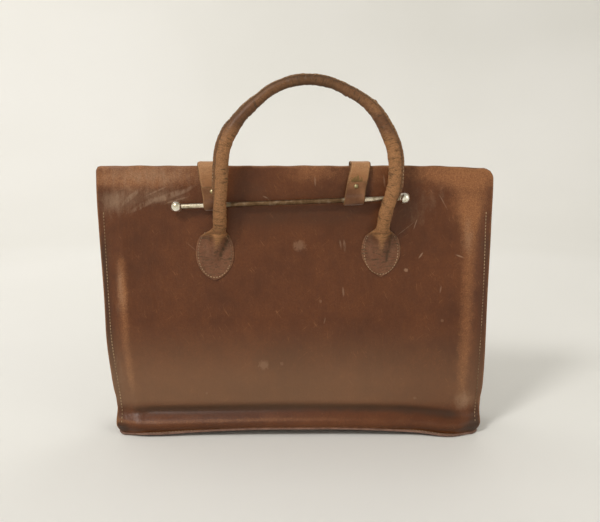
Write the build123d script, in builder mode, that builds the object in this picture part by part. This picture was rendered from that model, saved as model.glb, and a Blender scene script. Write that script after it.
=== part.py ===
from build123d import *
import os
from math import atan, cos, radians, sin

# Leather document bag with a bar closure and one rolled handle.
# Millimetres. X runs across the front, +Y to the rear, +Z up. The origin is the middle of
# the underside, so the bag stands on the plane Z = 0. The front face looks along -Y.

# ---- Body -------------------------------------------------------------------------------
BODY_HEIGHT = 277.0  # the mouth's two edges above the ground
TOP_WIDTH = 400.0  # panels at the mouth
FOOT_WIDTH = 384.0  # panels at the base
GUSSET_TOP = 232.0  # the gussets stop here, and the panels are free above
BASE_DEPTH = 60.0  # front to rear, between the middles of the panels
MOUTH_DEPTH = 16.0
PANEL_LEATHER = 2.2
GUSSET_LEATHER = 1.6
FOOT_EDGE = 6.4  # lower edge of the panels
ROLL_START = 38.0  # the panel's straight slope ends here, above the foot roll
ROLL_BULGE = 3.4  # how far the foot roll stands out of the slope
CORNER_RADIUS = 6.0

# ---- Base welt --------------------------------------------------------------------------
WELT_OUT = 3.0  # the base leather's rim stands this far outside the panels
WELT_RISE = 3.2  # and this far above the ground

# ---- Side gussets -----------------------------------------------------------------------
FLANGE = 8.0  # width of the gusset's sewn edge
FOLD_AT_BASE = 10.0  # how deep the gusset folds in at the base
SEAM_INSET = 5.5  # stitches from the panel's edge
THREAD_WIDTH = 0.8
THREAD_HEIGHT = 0.4

# ---- Closing bar ------------------------------------------------------------------------
ROD_RADIUS = 2.5
BALL_RADIUS = 5.9
BAR_LEFT = (-118.8, 237.4)  # X and Z of the left ball's centre
BAR_RIGHT = (109.0, 245.8)
BALL_GAP = 0.6  # between a ball and the front panel
SPIGOT_RADIUS = 1.5
SPIGOT_LENGTH = 5.0
SPIGOT_FIT = 0.02  # radial

# ---- Straps -----------------------------------------------------------------------------
STRAP_WIDTH = 20.0
STRAP_LEATHER = 2.0
STRAP_GAP = 2.2  # between a strap and the panels' top edges
LOOP_GAP = 0.8  # between the rod and the loop around it
STRAP_TOP_X = {"left": -88.0, "right": 65.6}  # middle of each strap over the mouth
STRAP_LOOP_X = {"left": -81.0, "right": 59.0}  # middle of each strap at the bar
LAP_START = 9.8  # the turned end meets the strap this far above the rod
LAP_END = 17.0  # and is cut off this far above it
RIVET_RISE = 13.4
RIVET_RADIUS = 1.2
RIVET_HEAD_RADIUS = 3.2
RIVET_HEAD_HEIGHT = 1.3
TAIL_LENGTH = 56.0  # the sewn part on the rear panel

# ---- Handle -----------------------------------------------------------------------------
HINGE_Z = 208.5  # the handle bends here, just above its sewn tabs
HANDLE_RADIUS = 6.2
CORE_RADIUS = 4.4
CORE_GAP = 0.1
WELT_RADIUS = 8.9  # outer edge of the handle's stitched seam
WELT_WIDTH = 3.0
THREAD_GAP = 0.03  # keeps the handle's threads clear of its seam edge
# The handle's middle line: corners in X and Z of straight runs joined by arcs, and how far
# each corner stands in front of the tabs. The legs bow out over the bar.
BOW = 11.6
HANDLE_CORNERS_XZ = [
    (-76.6, 209.6, 0.0),
    (-75.2, 237.0, BOW),
    (-73.2, 288.0, BOW),
    (-58.0, 326.0, BOW * 0.6),
    (-28.0, 350.5, BOW * 0.3),
    (14.0, 363.0, BOW * 0.2),
    (56.0, 353.5, BOW * 0.3),
    (90.0, 321.0, BOW * 0.6),
    (102.0, 281.0, BOW),
    (94.6, 243.0, BOW),
    (87.6, 209.6, 0.0),
]
HANDLE_RADII = [55.0, 70.0, 60.0, 80.0, 90.0, 80.0, 70.0, 80.0, 45.0]
WELT_END = 0.30  # the handle's seam ends this far up the legs' second run
TABS = {"left": (-81.7, 162.7), "right": (86.2, 166.0)}  # X of the middle, Z of the tip
TAB_WIDTH = 39.0
TAB_SHOULDER = 206.0
TAB_LEATHER = 2.0
TAB_SEAM = 2.5  # stitches from the tab's edge
BACKING_LEATHER = 1.6
BACKING_RADIUS = 17.0

# ---- Worked out -------------------------------------------------------------------------
SLOPE = (BASE_DEPTH - MOUTH_DEPTH) / 2 / BODY_HEIGHT
LEAN = atan(SLOPE)


def panel_y(z):
    """Distance of a panel's middle from the plane Y = 0, on its straight slope."""
    return BASE_DEPTH / 2 - SLOPE * z


def side_x(z):
    """Half the panels' width at height z."""
    down = max(0.0, GUSSET_TOP - z) / (GUSSET_TOP - FOOT_EDGE)
    return (TOP_WIDTH - (TOP_WIDTH - FOOT_WIDTH) * down) / 2


def rod_z(x):
    """Height of the closing bar's middle at x."""
    along = (x - BAR_LEFT[0]) / (BAR_RIGHT[0] - BAR_LEFT[0])
    return BAR_LEFT[1] + along * (BAR_RIGHT[1] - BAR_LEFT[1])


SKIN = PANEL_LEATHER / 2 / cos(LEAN)
FRONT_FACE = Plane(
    origin=(0, -BASE_DEPTH / 2 - SKIN, 0), x_dir=(1, 0, 0), z_dir=(0, -cos(LEAN), sin(LEAN))
)
FRONT_LINING_FACE = Plane(
    origin=(0, -BASE_DEPTH / 2 + SKIN, 0), x_dir=(1, 0, 0), z_dir=(0, -cos(LEAN), sin(LEAN))
)
REAR_FACE = Plane(
    origin=(0, BASE_DEPTH / 2 + SKIN, 0), x_dir=(-1, 0, 0), z_dir=(0, cos(LEAN), sin(LEAN))
)
MOUTH_FACE_Y = MOUTH_DEPTH / 2 + PANEL_LEATHER / 2  # outer faces of the panels at the mouth
ROD_Y = -(panel_y(BAR_LEFT[1]) + SKIN + BALL_GAP + BALL_RADIUS)
FOOT_Y = BASE_DEPTH / 2 + ROLL_BULGE / 2
HANDLE_ROOT_Y = -(panel_y(HINGE_Z) + SKIN + TAB_LEATHER + HANDLE_RADIUS - 0.8)
HANDLE_CORNERS = [(x, HANDLE_ROOT_Y - bow, z) for x, z, bow in HANDLE_CORNERS_XZ]

os.makedirs("parts", exist_ok=True)


def save(builder, name):
    """Label a finished piece and write it."""
    builder.part.label = name
    export_step(builder.part, f"parts/{name}.step")


# ---- Panels -----------------------------------------------------------------------------
with BuildPart() as front_panel:
    with BuildSketch(Plane.YZ):
        with BuildLine():
            Line((-panel_y(BODY_HEIGHT), BODY_HEIGHT), (-panel_y(ROLL_START), ROLL_START))
            Spline(
                (-panel_y(ROLL_START), ROLL_START),
                (-panel_y(20) - ROLL_BULGE * 0.8, 20),
                (-FOOT_Y, FOOT_EDGE),
                tangents=[(-SLOPE, -1), (0.35, -1)],
            )
        trace(line_width=PANEL_LEATHER)
    extrude(amount=TOP_WIDTH / 2 + 1, both=True)
    with BuildSketch(Plane.XZ):
        with BuildLine():
            Polyline(
                (-side_x(0), 0),
                (-side_x(GUSSET_TOP), GUSSET_TOP),
                (-side_x(BODY_HEIGHT), BODY_HEIGHT),
                (side_x(BODY_HEIGHT), BODY_HEIGHT),
                (side_x(GUSSET_TOP), GUSSET_TOP),
                (side_x(0), 0),
                close=True,
            )
        panel_outline = make_face()
        fillet(panel_outline.vertices().group_by(Axis.Y)[-1], CORNER_RADIUS)
    extrude(amount=BASE_DEPTH, both=True, mode=Mode.INTERSECT)
save(front_panel, "front_panel")

with BuildPart() as rear_panel:
    mirror(front_panel.part, about=Plane.XZ)
save(rear_panel, "rear_panel")

# ---- Base: one leather sheet whose long edges are raised to meet the panels' edges ---------
with BuildPart() as base_panel:
    with BuildSketch(Plane.YZ):
        with BuildLine() as base_line:
            half = PANEL_LEATHER / 2
            FilletPolyline(
                (-FOOT_Y - WELT_OUT, WELT_RISE + half),
                (-FOOT_Y + 3.0, WELT_RISE + half),
                (-FOOT_Y + 7.0, half),
                (FOOT_Y - 7.0, half),
                (FOOT_Y - 3.0, WELT_RISE + half),
                (FOOT_Y + WELT_OUT, WELT_RISE + half),
                radius=3.0,
            )
        trace(line_width=PANEL_LEATHER)
    extrude(amount=FOOT_WIDTH / 2, both=True)
    fillet(base_panel.edges().filter_by(Axis.Z).sort_by(Axis.X)[:2], 1.0)
save(base_panel, "base_panel")


# ---- Gussets: folded inwards between the panels' side edges --------------------------------
def gusset_line(side, z):
    """The gusset's middle line at height z, from the front edge round the fold to the rear."""
    edge_y = panel_y(z) - SKIN - GUSSET_LEATHER / 2 - 0.7
    base_y = panel_y(FOOT_EDGE) - SKIN - GUSSET_LEATHER / 2 - 0.7
    leaf = (base_y**2 + FOLD_AT_BASE**2) ** 0.5
    fold = (leaf**2 - edge_y**2) ** 0.5
    edge_x = side_x(z) - 0.6
    return [
        (side * edge_x, -edge_y),
        (side * (edge_x - FLANGE), -edge_y),
        (side * (edge_x - FLANGE - fold), 0),
        (side * (edge_x - FLANGE), edge_y),
        (side * edge_x, edge_y),
    ]


for name, side in (("gusset_left", -1), ("gusset_right", 1)):
    with BuildPart() as gusset:
        for height in (FOOT_EDGE + 1.0, GUSSET_TOP):
            with BuildSketch(Plane.XY.offset(height)):
                with BuildLine():
                    Polyline(*gusset_line(side, height))
                trace(line_width=GUSSET_LEATHER)
        loft(ruled=True)
    save(gusset, name)

# ---- Seam threads, one bar for each run of stitches ----------------------------------------
LOW_STITCH, HIGH_STITCH = ROLL_START, GUSSET_TOP - 2.0
for face_name, face in (("front", FRONT_FACE), ("rear", REAR_FACE)):
    for side_name, side in (("left", -1), ("right", 1)):
        across = side if face_name == "front" else -side
        with BuildPart() as side_thread:
            with BuildSketch(face):
                with BuildLine():
                    Line(
                        (across * (side_x(LOW_STITCH) - SEAM_INSET), LOW_STITCH),
                        (across * (side_x(HIGH_STITCH) - SEAM_INSET), HIGH_STITCH),
                    )
                trace(line_width=THREAD_WIDTH)
            extrude(amount=THREAD_HEIGHT)
        save(side_thread, f"side_thread_{face_name}_{side_name}")

for name, toward in (("base_thread_front", -1), ("base_thread_rear", 1)):
    with BuildPart() as base_thread:
        with BuildSketch(Plane.YZ):
            with Locations((toward * (FOOT_Y + WELT_OUT / 2 + 0.3), FOOT_EDGE - 0.6)):
                Rectangle(THREAD_WIDTH, THREAD_HEIGHT)
        extrude(amount=FOOT_WIDTH / 2 - 6, both=True)
    save(base_thread, name)

# ---- Closing bar ------------------------------------------------------------------------
bar_start = Vector(BAR_LEFT[0], ROD_Y, BAR_LEFT[1])
bar_end = Vector(BAR_RIGHT[0], ROD_Y, BAR_RIGHT[1])
BAR_DIR = (bar_end - bar_start).normalized()
BAR_LENGTH = (bar_end - bar_start).length
SHOULDER = BALL_RADIUS * 0.88  # where the rod meets a ball, from the ball's middle

with BuildPart() as closure_rod:
    with BuildSketch(Plane(origin=bar_start + BAR_DIR * (SHOULDER + SPIGOT_FIT), z_dir=BAR_DIR)):
        Circle(ROD_RADIUS)
    extrude(amount=BAR_LENGTH - 2 * SHOULDER - 2 * SPIGOT_FIT)
    for start, toward in ((bar_start, 1), (bar_end, -1)):
        rod_end = start + BAR_DIR * toward * (SHOULDER + SPIGOT_FIT)
        with BuildSketch(Plane(origin=rod_end, z_dir=-BAR_DIR * toward)):
            Circle(SPIGOT_RADIUS - SPIGOT_FIT)
        extrude(amount=SPIGOT_LENGTH)
save(closure_rod, "closure_rod")

neck_radius = (BALL_RADIUS**2 - SHOULDER**2) ** 0.5
for name, start, toward in (("ball_left", bar_start, 1), ("ball_right", bar_end, -1)):
    with BuildPart() as ball:
        with BuildSketch(Plane(origin=start, x_dir=BAR_DIR * toward, z_dir=(0, -1, 0))):
            with BuildLine():
                ThreePointArc((-BALL_RADIUS, 0), (0, BALL_RADIUS), (SHOULDER, neck_radius))
                Polyline(
                    (SHOULDER, neck_radius),
                    (SHOULDER, SPIGOT_RADIUS),
                    (SHOULDER - SPIGOT_LENGTH - 0.1, SPIGOT_RADIUS),
                    (SHOULDER - SPIGOT_LENGTH - 0.1, 0),
                    (-BALL_RADIUS, 0),
                )
            make_face()
        revolve(axis=Axis(start, BAR_DIR))
    save(ball, name)

# ---- Straps: over the mouth, down the front, round the bar and riveted ---------------------
LOOP_RADIUS = ROD_RADIUS + LOOP_GAP + STRAP_LEATHER / 2
STRAP_TOP_Z = BODY_HEIGHT + STRAP_GAP + STRAP_LEATHER / 2
BEND_RADIUS = STRAP_GAP + STRAP_LEATHER / 2
LOOP_BACK_Y = ROD_Y + LOOP_RADIUS  # middle of the strap where it meets the bar's rear
LAP_Y = LOOP_BACK_Y - STRAP_LEATHER + 0.05  # middle of the turned end
LAP_FRONT = -LAP_Y + STRAP_LEATHER / 2
UNWRAP = 140.0  # the loop leaves the rod at this angle, measured from the rear


def rivet_spot(name):
    """X and Z of a strap's rivet."""
    loop_x, top_x = STRAP_LOOP_X[name], STRAP_TOP_X[name]
    return loop_x + 0.3 * (top_x - loop_x), rod_z(loop_x) + RIVET_RISE


def drop_back(name):
    """Distance of the strap's rear face from the plane Y = 0, at its rivet."""
    low_z = rod_z(STRAP_LOOP_X[name])
    up = RIVET_RISE / (BODY_HEIGHT - low_z)
    middle = -LOOP_BACK_Y + up * (MOUTH_FACE_Y + BEND_RADIUS + LOOP_BACK_Y)
    return middle - STRAP_LEATHER / 2


for name in ("left", "right"):
    loop_x, top_x = STRAP_LOOP_X[name], STRAP_TOP_X[name]
    loop_z = rod_z(loop_x)
    leave = radians(UNWRAP)
    with BuildPart() as strap:
        with BuildSketch(Plane.YZ):
            with BuildLine():
                Line((MOUTH_FACE_Y, STRAP_TOP_Z), (-MOUTH_FACE_Y, STRAP_TOP_Z))
                bend = CenterArc((-MOUTH_FACE_Y, BODY_HEIGHT), BEND_RADIUS, 90, 90)
                Line(bend @ 1, (LOOP_BACK_Y, loop_z))
                CenterArc((ROD_Y, loop_z), LOOP_RADIUS, 0, UNWRAP - 360)
                Polyline(
                    (ROD_Y + LOOP_RADIUS * cos(leave), loop_z + LOOP_RADIUS * sin(leave)),
                    (LAP_Y, loop_z + LAP_START),
                    (LAP_Y, loop_z + LAP_END),
                )
            trace(line_width=STRAP_LEATHER)
        extrude(amount=TOP_WIDTH / 2, both=True)
        with BuildSketch(Plane.XZ):
            with BuildLine():
                half = STRAP_WIDTH / 2
                Polyline(
                    (top_x - half, BODY_HEIGHT + 10),
                    (top_x + half, BODY_HEIGHT + 10),
                    (top_x + half, BODY_HEIGHT),
                    (loop_x + half, loop_z - 8),
                    (loop_x - half, loop_z - 8),
                    (top_x - half, BODY_HEIGHT),
                    close=True,
                )
            make_face()
        extrude(amount=BASE_DEPTH, both=True, mode=Mode.INTERSECT)
        with BuildSketch(Plane.XZ.offset(MOUTH_FACE_Y)):
            with Locations(rivet_spot(name)):
                Circle(RIVET_RADIUS + 0.02)
        extrude(amount=BASE_DEPTH / 2, mode=Mode.SUBTRACT)
    save(strap, f"strap_{name}")

with BuildPart() as strap_rivets:
    for name in ("left", "right"):
        with BuildSketch(Plane.XZ.offset(LAP_FRONT + RIVET_HEAD_HEIGHT)):
            with Locations(rivet_spot(name)):
                Circle(RIVET_HEAD_RADIUS * 0.55)
        with BuildSketch(Plane.XZ.offset(LAP_FRONT + 0.02)):
            with Locations(rivet_spot(name)):
                Circle(RIVET_HEAD_RADIUS)
        loft()
        shank_back = drop_back(name) - 1.0
        with BuildSketch(Plane.XZ.offset(shank_back)):
            with Locations(rivet_spot(name)):
                Circle(RIVET_RADIUS)
        extrude(amount=LAP_FRONT + 0.1 - shank_back)
save(strap_rivets, "strap_rivets")

with BuildPart() as rivet_washers:
    for name in ("left", "right"):
        with BuildSketch(Plane.XZ.offset(drop_back(name) - 0.95)):
            with Locations(rivet_spot(name)):
                Circle(RIVET_HEAD_RADIUS - 0.4)
                Circle(RIVET_RADIUS + 0.02, mode=Mode.SUBTRACT)
        extrude(amount=0.7)
save(rivet_washers, "rivet_washers")

# ---- Strap tails: sewn flat on the rear panel, below the mouth ------------------------------
TAIL_TOP = BODY_HEIGHT - 5.5  # below the bend over the rear panel's edge
TAIL_FOOT = TAIL_TOP - TAIL_LENGTH
for name in ("left", "right"):
    tail_x = -STRAP_TOP_X[name]
    with BuildPart() as strap_tail:
        with BuildSketch(REAR_FACE):
            with Locations((tail_x, (TAIL_TOP + TAIL_FOOT) / 2)):
                tail_outline = Rectangle(STRAP_WIDTH, TAIL_LENGTH)
            fillet(tail_outline.vertices().group_by(Axis.Y)[0], STRAP_WIDTH * 0.35)
        extrude(amount=STRAP_LEATHER)
    save(strap_tail, f"strap_tail_{name}")
    with BuildPart() as tail_thread:
        with BuildSketch(REAR_FACE.offset(STRAP_LEATHER)):
            with Locations((tail_x, (TAIL_TOP + TAIL_FOOT) / 2)):
                Rectangle(STRAP_WIDTH - 2 * TAB_SEAM, TAIL_LENGTH - 2 * TAB_SEAM)
                Rectangle(
                    STRAP_WIDTH - 2 * TAB_SEAM - 2 * THREAD_WIDTH,
                    TAIL_LENGTH - 2 * TAB_SEAM - 2 * THREAD_WIDTH,
                    mode=Mode.SUBTRACT,
                )
        extrude(amount=THREAD_HEIGHT)
    save(tail_thread, f"tail_thread_{name}")

# ---- Handle: leather rolled round a cord core, its edges sewn together outside -------------
first, second = Vector(*HANDLE_CORNERS[0]), Vector(*HANDLE_CORNERS[1])
leg_dir = (second - first).normalized()
leg_plane = Plane(origin=first, x_dir=leg_dir.cross(Vector(0, 1, 0)), z_dir=leg_dir)

left_low, left_high = Vector(*HANDLE_CORNERS[1]), Vector(*HANDLE_CORNERS[2])
right_high, right_low = Vector(*HANDLE_CORNERS[-3]), Vector(*HANDLE_CORNERS[-2])
welt_start = left_low + (left_high - left_low) * WELT_END
welt_end = right_low + (right_high - right_low) * WELT_END
welt_dir = (left_high - left_low).normalized()
welt_plane = Plane(
    origin=welt_start, x_dir=welt_dir.cross(Vector(0, 1, 0)), z_dir=welt_dir
)

with BuildLine() as handle_line:
    FilletPolyline(*HANDLE_CORNERS, radius=HANDLE_RADII)
with BuildLine() as welt_line:
    FilletPolyline(welt_start, *HANDLE_CORNERS[2:-2], welt_end, radius=HANDLE_RADII[1:-1])

with BuildPart() as handle_cover:
    with BuildSketch(leg_plane):
        Circle(HANDLE_RADIUS)
        Circle(CORE_RADIUS + CORE_GAP, mode=Mode.SUBTRACT)
    sweep(path=handle_line.wire())
save(handle_cover, "handle_cover")

with BuildPart() as handle_seam_edge:
    with BuildSketch(welt_plane):
        with Locations(((HANDLE_RADIUS + WELT_RADIUS) / 2 + 0.05, 0)):
            Rectangle(WELT_RADIUS - HANDLE_RADIUS - 0.1, WELT_WIDTH)
    sweep(path=welt_line.wire())
save(handle_seam_edge, "handle_seam_edge")

with BuildPart() as handle_core:
    with BuildSketch(leg_plane):
        Circle(CORE_RADIUS)
    sweep(path=handle_line.wire())
save(handle_core, "handle_core")

with BuildPart() as handle_thread:
    for face in (-1, 1):
        with BuildSketch(welt_plane):
            thread_x = WELT_RADIUS - 1.3
            thread_y = face * ((WELT_WIDTH + THREAD_HEIGHT) / 2 + THREAD_GAP)
            with Locations((thread_x, thread_y)):
                Rectangle(THREAD_WIDTH, THREAD_HEIGHT)
        sweep(path=welt_line.wire())
save(handle_thread, "handle_thread")


# ---- Handle tabs: the flattened ends of the cover, sewn on the front panel -----------------
def tab_outline(middle_x, tip_z, inset):
    """Teardrop with its point down, drawn on the front panel's face."""
    half = TAB_WIDTH / 2 - inset
    neck = HANDLE_RADIUS + 0.8 - inset * 0.3
    top = HINGE_Z - 2.5 - inset
    shoulder = top - 12
    waist = tip_z + 24
    with BuildSketch() as outline:
        with BuildLine():
            Line((middle_x - neck, top), (middle_x + neck, top))
            ThreePointArc(
                (middle_x + neck, top),
                (middle_x + half * 0.86, (top + shoulder) / 2 + 1.5),
                (middle_x + half, shoulder),
            )
            Line((middle_x + half, shoulder), (middle_x + half * 0.93, waist))
            ThreePointArc(
                (middle_x + half * 0.93, waist),
                (middle_x + half * 0.58, tip_z + 8),
                (middle_x, tip_z + inset),
            )
            ThreePointArc(
                (middle_x, tip_z + inset),
                (middle_x - half * 0.58, tip_z + 8),
                (middle_x - half * 0.93, waist),
            )
            Line((middle_x - half * 0.93, waist), (middle_x - half, shoulder))
            ThreePointArc(
                (middle_x - half, shoulder),
                (middle_x - half * 0.86, (top + shoulder) / 2 + 1.5),
                (middle_x - neck, top),
            )
        make_face()
    return outline.sketch


for name, leg in (("left", HANDLE_CORNERS[0]), ("right", HANDLE_CORNERS[-1])):
    middle_x, tip_z = TABS[name]
    with BuildPart() as handle_tab:
        with BuildSketch(FRONT_FACE):
            add(tab_outline(middle_x, tip_z, 0))
        extrude(amount=TAB_LEATHER)
        with BuildSketch(Plane.XY.offset(HINGE_Z - 2.5)):
            with Locations((leg[0], leg[1] + 0.9)):
                Circle(HANDLE_RADIUS - 0.3)
        with BuildSketch(Plane.XY.offset(tip_z + 14)):
            with Locations((middle_x, -panel_y(tip_z + 14) - TAB_LEATHER)):
                Circle(2.0)
        loft(ruled=True)
        split(bisect_by=FRONT_FACE, keep=Keep.TOP)
    save(handle_tab, f"handle_tab_{name}")
    with BuildPart() as tab_thread:
        with BuildSketch(FRONT_FACE.offset(TAB_LEATHER)):
            add(tab_outline(middle_x, tip_z, TAB_SEAM))
        extrude(amount=THREAD_HEIGHT)
        with BuildSketch(FRONT_FACE.offset(TAB_LEATHER)):
            add(tab_outline(middle_x, tip_z, TAB_SEAM + THREAD_WIDTH))
        extrude(amount=THREAD_HEIGHT, mode=Mode.SUBTRACT)
        with BuildSketch(Plane.XZ):
            with Locations((middle_x, HINGE_Z)):
                Rectangle(TAB_WIDTH * 0.62, 20)
        extrude(amount=BASE_DEPTH, both=True, mode=Mode.SUBTRACT)
    save(tab_thread, f"tab_thread_{name}")
    with BuildPart() as handle_backing:
        with BuildSketch(FRONT_LINING_FACE):
            with Locations((middle_x, tip_z + 22)):
                Circle(BACKING_RADIUS)
        extrude(amount=-BACKING_LEATHER)
    save(handle_backing, f"handle_backing_{name}")

print("rod y", round(ROD_Y, 2), "bar length", round(BAR_LENGTH, 1))
print("bar direction", [round(v, 5) for v in BAR_DIR])
print("strap hinge", MOUTH_FACE_Y, BODY_HEIGHT)
print("handle hinge", round(HANDLE_ROOT_Y - HANDLE_RADIUS, 2), HINGE_Z)
print("mouth hinge", FOOT_Y, FOOT_EDGE)
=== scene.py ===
from math import cos, pi, radians, sin

import bpy
import numpy as np
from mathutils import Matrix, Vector, kdtree


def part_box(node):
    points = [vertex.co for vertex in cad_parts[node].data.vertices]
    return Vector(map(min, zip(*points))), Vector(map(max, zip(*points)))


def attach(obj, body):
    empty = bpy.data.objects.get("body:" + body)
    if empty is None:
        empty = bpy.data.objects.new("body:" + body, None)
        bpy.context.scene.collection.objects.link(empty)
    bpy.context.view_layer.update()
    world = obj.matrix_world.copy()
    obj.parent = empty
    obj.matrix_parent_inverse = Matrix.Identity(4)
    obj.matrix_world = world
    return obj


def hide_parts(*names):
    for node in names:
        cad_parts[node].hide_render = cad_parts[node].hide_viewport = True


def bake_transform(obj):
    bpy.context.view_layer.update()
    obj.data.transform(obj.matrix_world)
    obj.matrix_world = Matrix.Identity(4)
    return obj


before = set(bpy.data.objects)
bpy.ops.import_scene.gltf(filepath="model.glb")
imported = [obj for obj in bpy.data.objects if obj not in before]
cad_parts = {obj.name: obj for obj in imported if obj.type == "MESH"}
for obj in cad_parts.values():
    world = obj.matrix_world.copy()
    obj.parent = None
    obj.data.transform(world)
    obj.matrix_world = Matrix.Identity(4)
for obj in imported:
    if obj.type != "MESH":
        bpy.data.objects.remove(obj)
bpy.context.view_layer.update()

# A leather document bag: two panels, folded side gussets, a closing bar on two straps and one
# rolled handle. Shapes are worked out in millimetres in the frame of the CAD part (X across
# the front, +Y to the rear, +Z up) and become metres when a mesh is made.
MM = 0.001
RNG = np.random.default_rng(7)


def cad_box(node):
    """A CAD node's corners in millimetres."""
    low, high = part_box(node)
    return np.array(low) / MM, np.array(high) / MM


# ---- Sizes, from the frame where it has them ---------------------------------------------------
PANEL_LOW, PANEL_HIGH = cad_box("front_panel")
BASE_HIGH = cad_box("base_panel")[1]
GUSSET_TOP = cad_box("gusset_left")[1][2]
BODY_TOP = PANEL_HIGH[2]
HALF_TOP = PANEL_HIGH[0]
HALF_FOOT = BASE_HIGH[0]
FRONT, REAR = 0.4, 2.3  # the phase of each panel's unevenness
LEATHER = 2.2
GUSSET_LEATHER = 1.6
STRAP_LEATHER = 2.0
BASE_HALF_DEPTH = 30.0
SLOPE = 22.0 / BODY_TOP  # how fast the panels come together going up
FOOT_EDGE = PANEL_LOW[2]
SEAM_INSET = 5.5
STITCH_PITCH = 3.3
TRIM_PITCH = 3.0
SLUMP = 4.6  # how far the foot has sagged forward at its worst
MOUTH = BODY_TOP - 0.5  # the panels' upper edge
FOOT_CORNER = 9.0  # radius of the panels' lower corners
FOOT_CORNER_Z = 1.6  # and their height
GUSSET_FOOT = 8.0

BALL_LEFT = sum(cad_box("ball_left")) / 2
BALL_RIGHT = sum(cad_box("ball_right")) / 2
ROD_LOW, ROD_HIGH = cad_box("closure_rod")
ROD_Y = (ROD_LOW[1] + ROD_HIGH[1]) / 2
ROD_RADIUS = (ROD_HIGH[1] - ROD_LOW[1]) / 2
STRAP_TOP_X = {"left": -88.0, "right": 65.6}
STRAP_LOOP_X = {"left": -81.0, "right": 59.0}
STRAP_HALF = 9.2
RIVET_Y = -17.35  # where a rivet's head begins
STRAP_FRONT_Y = -9  # a strap is in front of the mouth beyond this

HINGE_Z = 208.5
TUBE_RADIUS = 6.3
TAB_LEATHER = 2.0
BOW = 11.6  # how far the handle's legs stand in front of its roots, to clear the bar
ARCH_TOP = (318, 345)  # heights between which the arch turns from leg to top
FLANGE_TOP = (322, 350)  # the same for its seam edge, which is slimmer on top


# ---- Small tools --------------------------------------------------------------------------------
def smooth(value, low, high):
    """0 below low, 1 above high, smooth between."""
    t = np.clip((np.asarray(value, float) - low) / (high - low), 0, 1)
    return t * t * (3 - 2 * t)


def hump(value, middle, width):
    """A soft ridge: 1 at the middle, falling away over the width."""
    return np.exp(-(((np.asarray(value, float) - middle) / width) ** 2))


def patch(x, z, cx, cz, rx, rz):
    """A soft round patch about (cx, cz)."""
    return np.exp(-(((x - cx) / rx) ** 2) - ((z - cz) / rz) ** 2)


def patches(x, z, *rows):
    """Several soft patches added up. Each row is (strength, cx, cz, rx, rz)."""
    return sum(strength * patch(x, z, *place) for strength, *place in rows)


def unit(v):
    """The same directions, each of length 1."""
    return v / np.maximum(np.linalg.norm(v, axis=-1, keepdims=True), 1e-9)


def spline(points, count):
    """Points evenly spaced along a smooth line through the given ones."""
    p = np.array(points, float)
    p = np.vstack([2 * p[0] - p[1], p, 2 * p[-1] - p[-2]])
    dense = []
    for i in range(1, len(p) - 2):
        a, b, c, d = p[i - 1], p[i], p[i + 1], p[i + 2]
        for t in np.linspace(0, 1, 40, endpoint=False):
            dense.append(
                0.5 * (2 * b + (c - a) * t + (2 * a - 5 * b + 4 * c - d) * t**2
                       + (3 * b - a - 3 * c + d) * t**3)
            )
    dense = np.array(dense + [p[-2]])
    run = run_along(dense)
    return found_at(np.linspace(0, run[-1], count), dense, run)


def run_along(line):
    """Distance along a line of points, from its first one."""
    return np.concatenate([[0], np.cumsum(np.linalg.norm(np.diff(line, axis=0), axis=1))])


def found_at(want, line, run):
    """The places on a line at the wanted distances along it."""
    return np.column_stack([np.interp(want, run, values) for values in line.T])


def every(line, pitch):
    """Points at an even pitch along a line."""
    run = run_along(line)
    return found_at(np.arange(0, run[-1], pitch), line, run)


def spaced(low, high, count, ends):
    """Numbers from low to high, closer together at the ends by the share given."""
    t = np.linspace(0, 1, count)
    eased = (1 - np.cos(pi * t)) / 2
    return low + (high - low) * ((1 - ends) * t + ends * eased)


def round_angles(count):
    return 2 * pi * np.arange(count) / count


def round_in(side, out, angles, radii):
    """Offsets round a ring in the plane of two directions."""
    reach = np.broadcast_to(radii, np.shape(angles))[:, None]
    return reach * (np.cos(angles)[:, None] * side + np.sin(angles)[:, None] * out)


def build(name, points, faces, materials, slots=None, closed=True):
    """A mesh object from points in millimetres, with its rest place kept for the patterns."""
    mesh = bpy.data.meshes.new(name)
    mesh.from_pydata((np.asarray(points) * MM).tolist(), [], faces)
    for material in materials:
        mesh.materials.append(material)
    if slots is not None:
        mesh.polygons.foreach_set("material_index", slots)
    mesh.polygons.foreach_set("use_smooth", [True] * len(mesh.polygons))
    mesh.update()
    piece = bpy.data.objects.new(name, mesh)
    bpy.context.scene.collection.objects.link(piece)
    keep(piece, rest=points)
    if closed:
        face_outward(mesh)
    return piece


def keep(piece, **layers):
    """Keeps one number or one place for each point, for the materials to read: rest is where
    the point is at rest, lay where it would be with the hide laid out straight, and the
    others say how worn, dark or scuffed the leather is, painted highlights and painted
    shade included, and how near its edge."""
    for name, values in layers.items():
        values = np.asarray(values, np.float32)
        kind, key = ("FLOAT", "value") if values.ndim == 1 else ("FLOAT_VECTOR", "vector")
        layer = piece.data.attributes.new(name, kind, "POINT")
        layer.data.foreach_set(key, values.ravel())


def rest_of(piece):
    """The places at rest that build() kept, one row for each point."""
    co = np.zeros(len(piece.data.vertices) * 3, np.float32)
    piece.data.attributes["rest"].data.foreach_get("vector", co)
    return co.reshape(-1, 3).astype(float)


def grid_normals(grid, outward):
    """Unit normals of a grid of points, on the side that outward points to."""
    du = np.gradient(grid, axis=0)
    dv = np.gradient(grid, axis=1)
    normal = unit(np.cross(du, dv))
    flat = normal.reshape(-1, 3)
    if np.median(flat @ np.asarray(outward, float)) < 0:
        normal = -normal
    return normal


def border(rows, cols):
    """Row and column of each point on a grid's edge, in order round it."""
    top = [(0, c) for c in range(cols)]
    right = [(r, cols - 1) for r in range(1, rows)]
    bottom = [(rows - 1, c) for c in range(cols - 2, -1, -1)]
    left = [(r, 0) for r in range(rows - 2, 0, -1)]
    return top + right + bottom + left


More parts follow.
